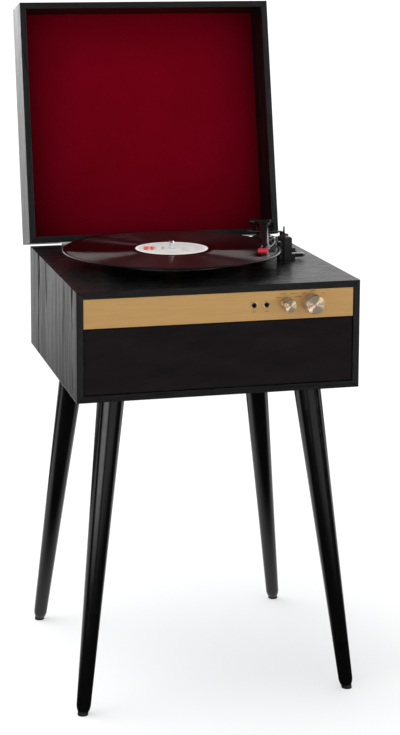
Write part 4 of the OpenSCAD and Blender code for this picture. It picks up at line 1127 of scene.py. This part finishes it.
def lobe(direction, lo, hi, strength):
    """Light from about one direction: none below lo of its cosine, all above hi."""
    d = wnode("ShaderNodeVectorMath", operation="DOT_PRODUCT")
    wt.links.new(w_dir, d.inputs[0])
    d.inputs[1].default_value = Vector(direction).normalized()
    r = wnode("ShaderNodeMapRange", interpolation_type="SMOOTHSTEP")
    wt.links.new(d.outputs["Value"], r.inputs["Value"])
    r.inputs["From Min"].default_value = lo
    r.inputs["From Max"].default_value = hi
    r.inputs["To Min"].default_value = 0
    r.inputs["To Max"].default_value = strength
    return r.outputs["Result"]


w_dir = wnode("ShaderNodeTexCoord").outputs["Generated"]

def toward(side, behind, rise):
    """A direction by the camera's own right, away from it, and up."""
    return (side * 0.9727 + behind * 0.2322, side * -0.2322 + behind * 0.9727, rise)


def sky(base, lobes):
    total = None
    for args in lobes:
        k = lobe(*args)
        total = wmath("ADD", k, base) if total is None else wmath("ADD", total, k)
    return total


# even light for what is matt
soft = sky(0.38, (((0, 0.1, 1), 0.2, 0.95, 0.80), ((-0.5, -0.85, 0.25), 0.6, 0.95, 0.30)))
# dark room with a bright wall behind and soft boxes, as shiny surfaces see it
gloss = sky(0.06, (((0.05, 1, 0.1), 0.55, 0.93, 0.85),                  # wall behind
                   ((0, 0.1, 1), 0.6, 0.95, 0.08),                      # ceiling
                   (toward(-0.53, -0.85, 0.10), 0.90, 0.975, 1.4),      # soft box, front left
                   (toward(0.88, -0.35, 0.16), 0.945, 0.98, 6.0),       # soft box, front right
                   (toward(0.45, -0.89, 0.0), 0.84, 0.95, 0.55),        # dim wall, front right
                   (toward(-0.56, 0.76, 0.33), 0.86, 0.95, 3.4),        # soft box, behind left
                   (toward(-0.45, 0.89, -0.02), 0.965, 0.995, 2.2),      # low edge of the wall
                   (toward(0.60, 0.75, 0.27), 0.88, 0.96, 3.2)))        # soft box, behind right
path = wnode("ShaderNodeLightPath")


def wmix(fac, a, b):
    n = wnode("ShaderNodeMix", data_type="FLOAT")
    wt.links.new(fac, n.inputs[0])
    for k, v in ((2, a), (3, b)):
        if isinstance(v, float):
            n.inputs[k].default_value = v
        else:
            wt.links.new(v, n.inputs[k])
    return n.outputs[0]


level = wmix(path.outputs["Is Camera Ray"], wmix(path.outputs["Is Glossy Ray"], soft, gloss), 1.0)
bg = wnode("ShaderNodeBackground")
bg.inputs["Color"].default_value = (1.0, 1.0, 1.0, 1)
wt.links.new(level, bg.inputs["Strength"])
out = wnode("ShaderNodeOutputWorld")
wt.links.new(bg.outputs[0], out.inputs["Surface"])
world.cycles.sampling_method = "NONE"

# the floor, as shiny surfaces see it: dim in front, brighter far behind, with the glow of the front left box on it
fp = floor_mat.node("ShaderNodeTexCoord").outputs["Object"]
fs = floor_mat.node("ShaderNodeSeparateXYZ")
floor_mat.link(fp, fs.inputs["Vector"])
fx, fy = fs.outputs["X"], fs.outputs["Y"]
dist = floor_mat.math("SQRT", floor_mat.math("ADD", floor_mat.math("POWER", fx, 2), floor_mat.math("POWER", fy, 2)))


def fstep(v, lo, hi, a, b):
    n = floor_mat.node("ShaderNodeMapRange", interpolation_type="SMOOTHSTEP")
    for k, q in (("From Min", lo), ("From Max", hi), ("To Min", a), ("To Max", b)):
        n.inputs[k].default_value = q
    floor_mat.link(v, n.inputs["Value"])
    return n.outputs["Result"]


fl = Vector(toward(-0.53, -0.85, 0)[:2]).normalized()
along = floor_mat.math("DIVIDE", floor_mat.math("ADD", floor_mat.math("MULTIPLY", fx, fl.x), floor_mat.math("MULTIPLY", fy, fl.y)), dist)
glow = floor_mat.math("MULTIPLY", fstep(along, 0.88, 0.985, 0.0, 3.4), fstep(dist, 1.2, 4.5, 0.0, 1.0))
fr = Vector(toward(0.45, -0.89, 0)[:2]).normalized()
across = floor_mat.math("DIVIDE", floor_mat.math("ADD", floor_mat.math("MULTIPLY", fx, fr.x), floor_mat.math("MULTIPLY", fy, fr.y)), dist)
glow = floor_mat.math("ADD", glow, floor_mat.math("MULTIPLY", fstep(across, 0.84, 0.95, 0.0, 0.62), fstep(dist, 0.8, 2.4, 0.0, 1.0)))
glow = floor_mat.math("ADD", glow, floor_mat.math("ADD", fstep(fy, 0.9, 2.5, 0.0, 0.9), fstep(fy, 2.8, 6.0, 0.0, 0.45)))
glow = floor_mat.math("ADD", glow, fstep(fy, 6.0, 24.0, 0.0, 1.5))
glow = floor_mat.math("ADD", glow, fstep(dist, 0.5, 1.8, 0.02, 0.05))
# painted glow, seen only in reflections: the floor between and beside the rear legs shines white
glow = floor_mat.math("ADD", glow, floor_mat.math("MULTIPLY", fstep(fy, -0.22, 0.10, 0.0, 0.95), fstep(fy, 0.45, 0.9, 1.0, 0.0)))
em = floor_mat.node("ShaderNodeEmission")
em.inputs["Color"].default_value = (1, 1, 1, 1)
floor_mat.link(glow, em.inputs["Strength"])
fmix = floor_mat.node("ShaderNodeMixShader")
floor_mat.link(floor_mat.node("ShaderNodeLightPath").outputs["Is Glossy Ray"], fmix.inputs[0])
lift = floor_mat.node("ShaderNodeMixShader")
lift.inputs[0].default_value = 0.5
white = floor_mat.node("ShaderNodeEmission")
white.inputs["Color"].default_value = (0.985, 0.99, 1.0, 1)
white.inputs["Strength"].default_value = 1.0
floor_mat.link(floor_mat.b.outputs[0], lift.inputs[1])
floor_mat.link(white.outputs[0], lift.inputs[2])
floor_mat.link(lift.outputs[0], fmix.inputs[1])
floor_mat.link(em.outputs[0], fmix.inputs[2])
floor_mat.link(fmix.outputs[0], floor_mat.nt.nodes["Material Output"].inputs["Surface"])
floor_mat.m.cycles.emission_sampling = "NONE"


def sun(name, direction, strength, angle, color=(1, 1, 1)):
    d = bpy.data.lights.new(name, "SUN")
    d.energy = strength
    d.angle = math.radians(angle)
    d.color = color
    o = bpy.data.objects.new(name, d)
    scene.collection.objects.link(o)
    o.rotation_mode = "QUATERNION"
    o.rotation_quaternion = Vector(direction).to_track_quat("-Z", "Y")
    return o


key = sun("key_sun", (0.34, -0.2, -1.0), 1.5, 42)
key.visible_glossy = False

cam_d = bpy.data.cameras.new("camera")
cam = bpy.data.objects.new("camera", cam_d)
scene.collection.objects.link(cam)
scene.camera = cam
YAW, PITCH = math.radians(-13.459), math.radians(8.0)
cam.location = (-0.5965, -2.3677, 1.0042)
right = Vector((math.cos(YAW), math.sin(YAW), 0))
fwd = Vector((-math.sin(YAW) * math.cos(PITCH), math.cos(YAW) * math.cos(PITCH), -math.sin(PITCH)))
up = right.cross(fwd)
rot = Matrix((right, up, -fwd)).transposed()
cam.rotation_mode = "QUATERNION"
cam.rotation_quaternion = rot.to_quaternion()
cam_d.sensor_width = 36
cam_d.sensor_fit = "AUTO"
cam_d.lens = 85.437
cam_d.shift_x = 0.0607
cam_d.shift_y = -0.2438
cam_d.clip_start = 0.05
cam_d.clip_end = 300
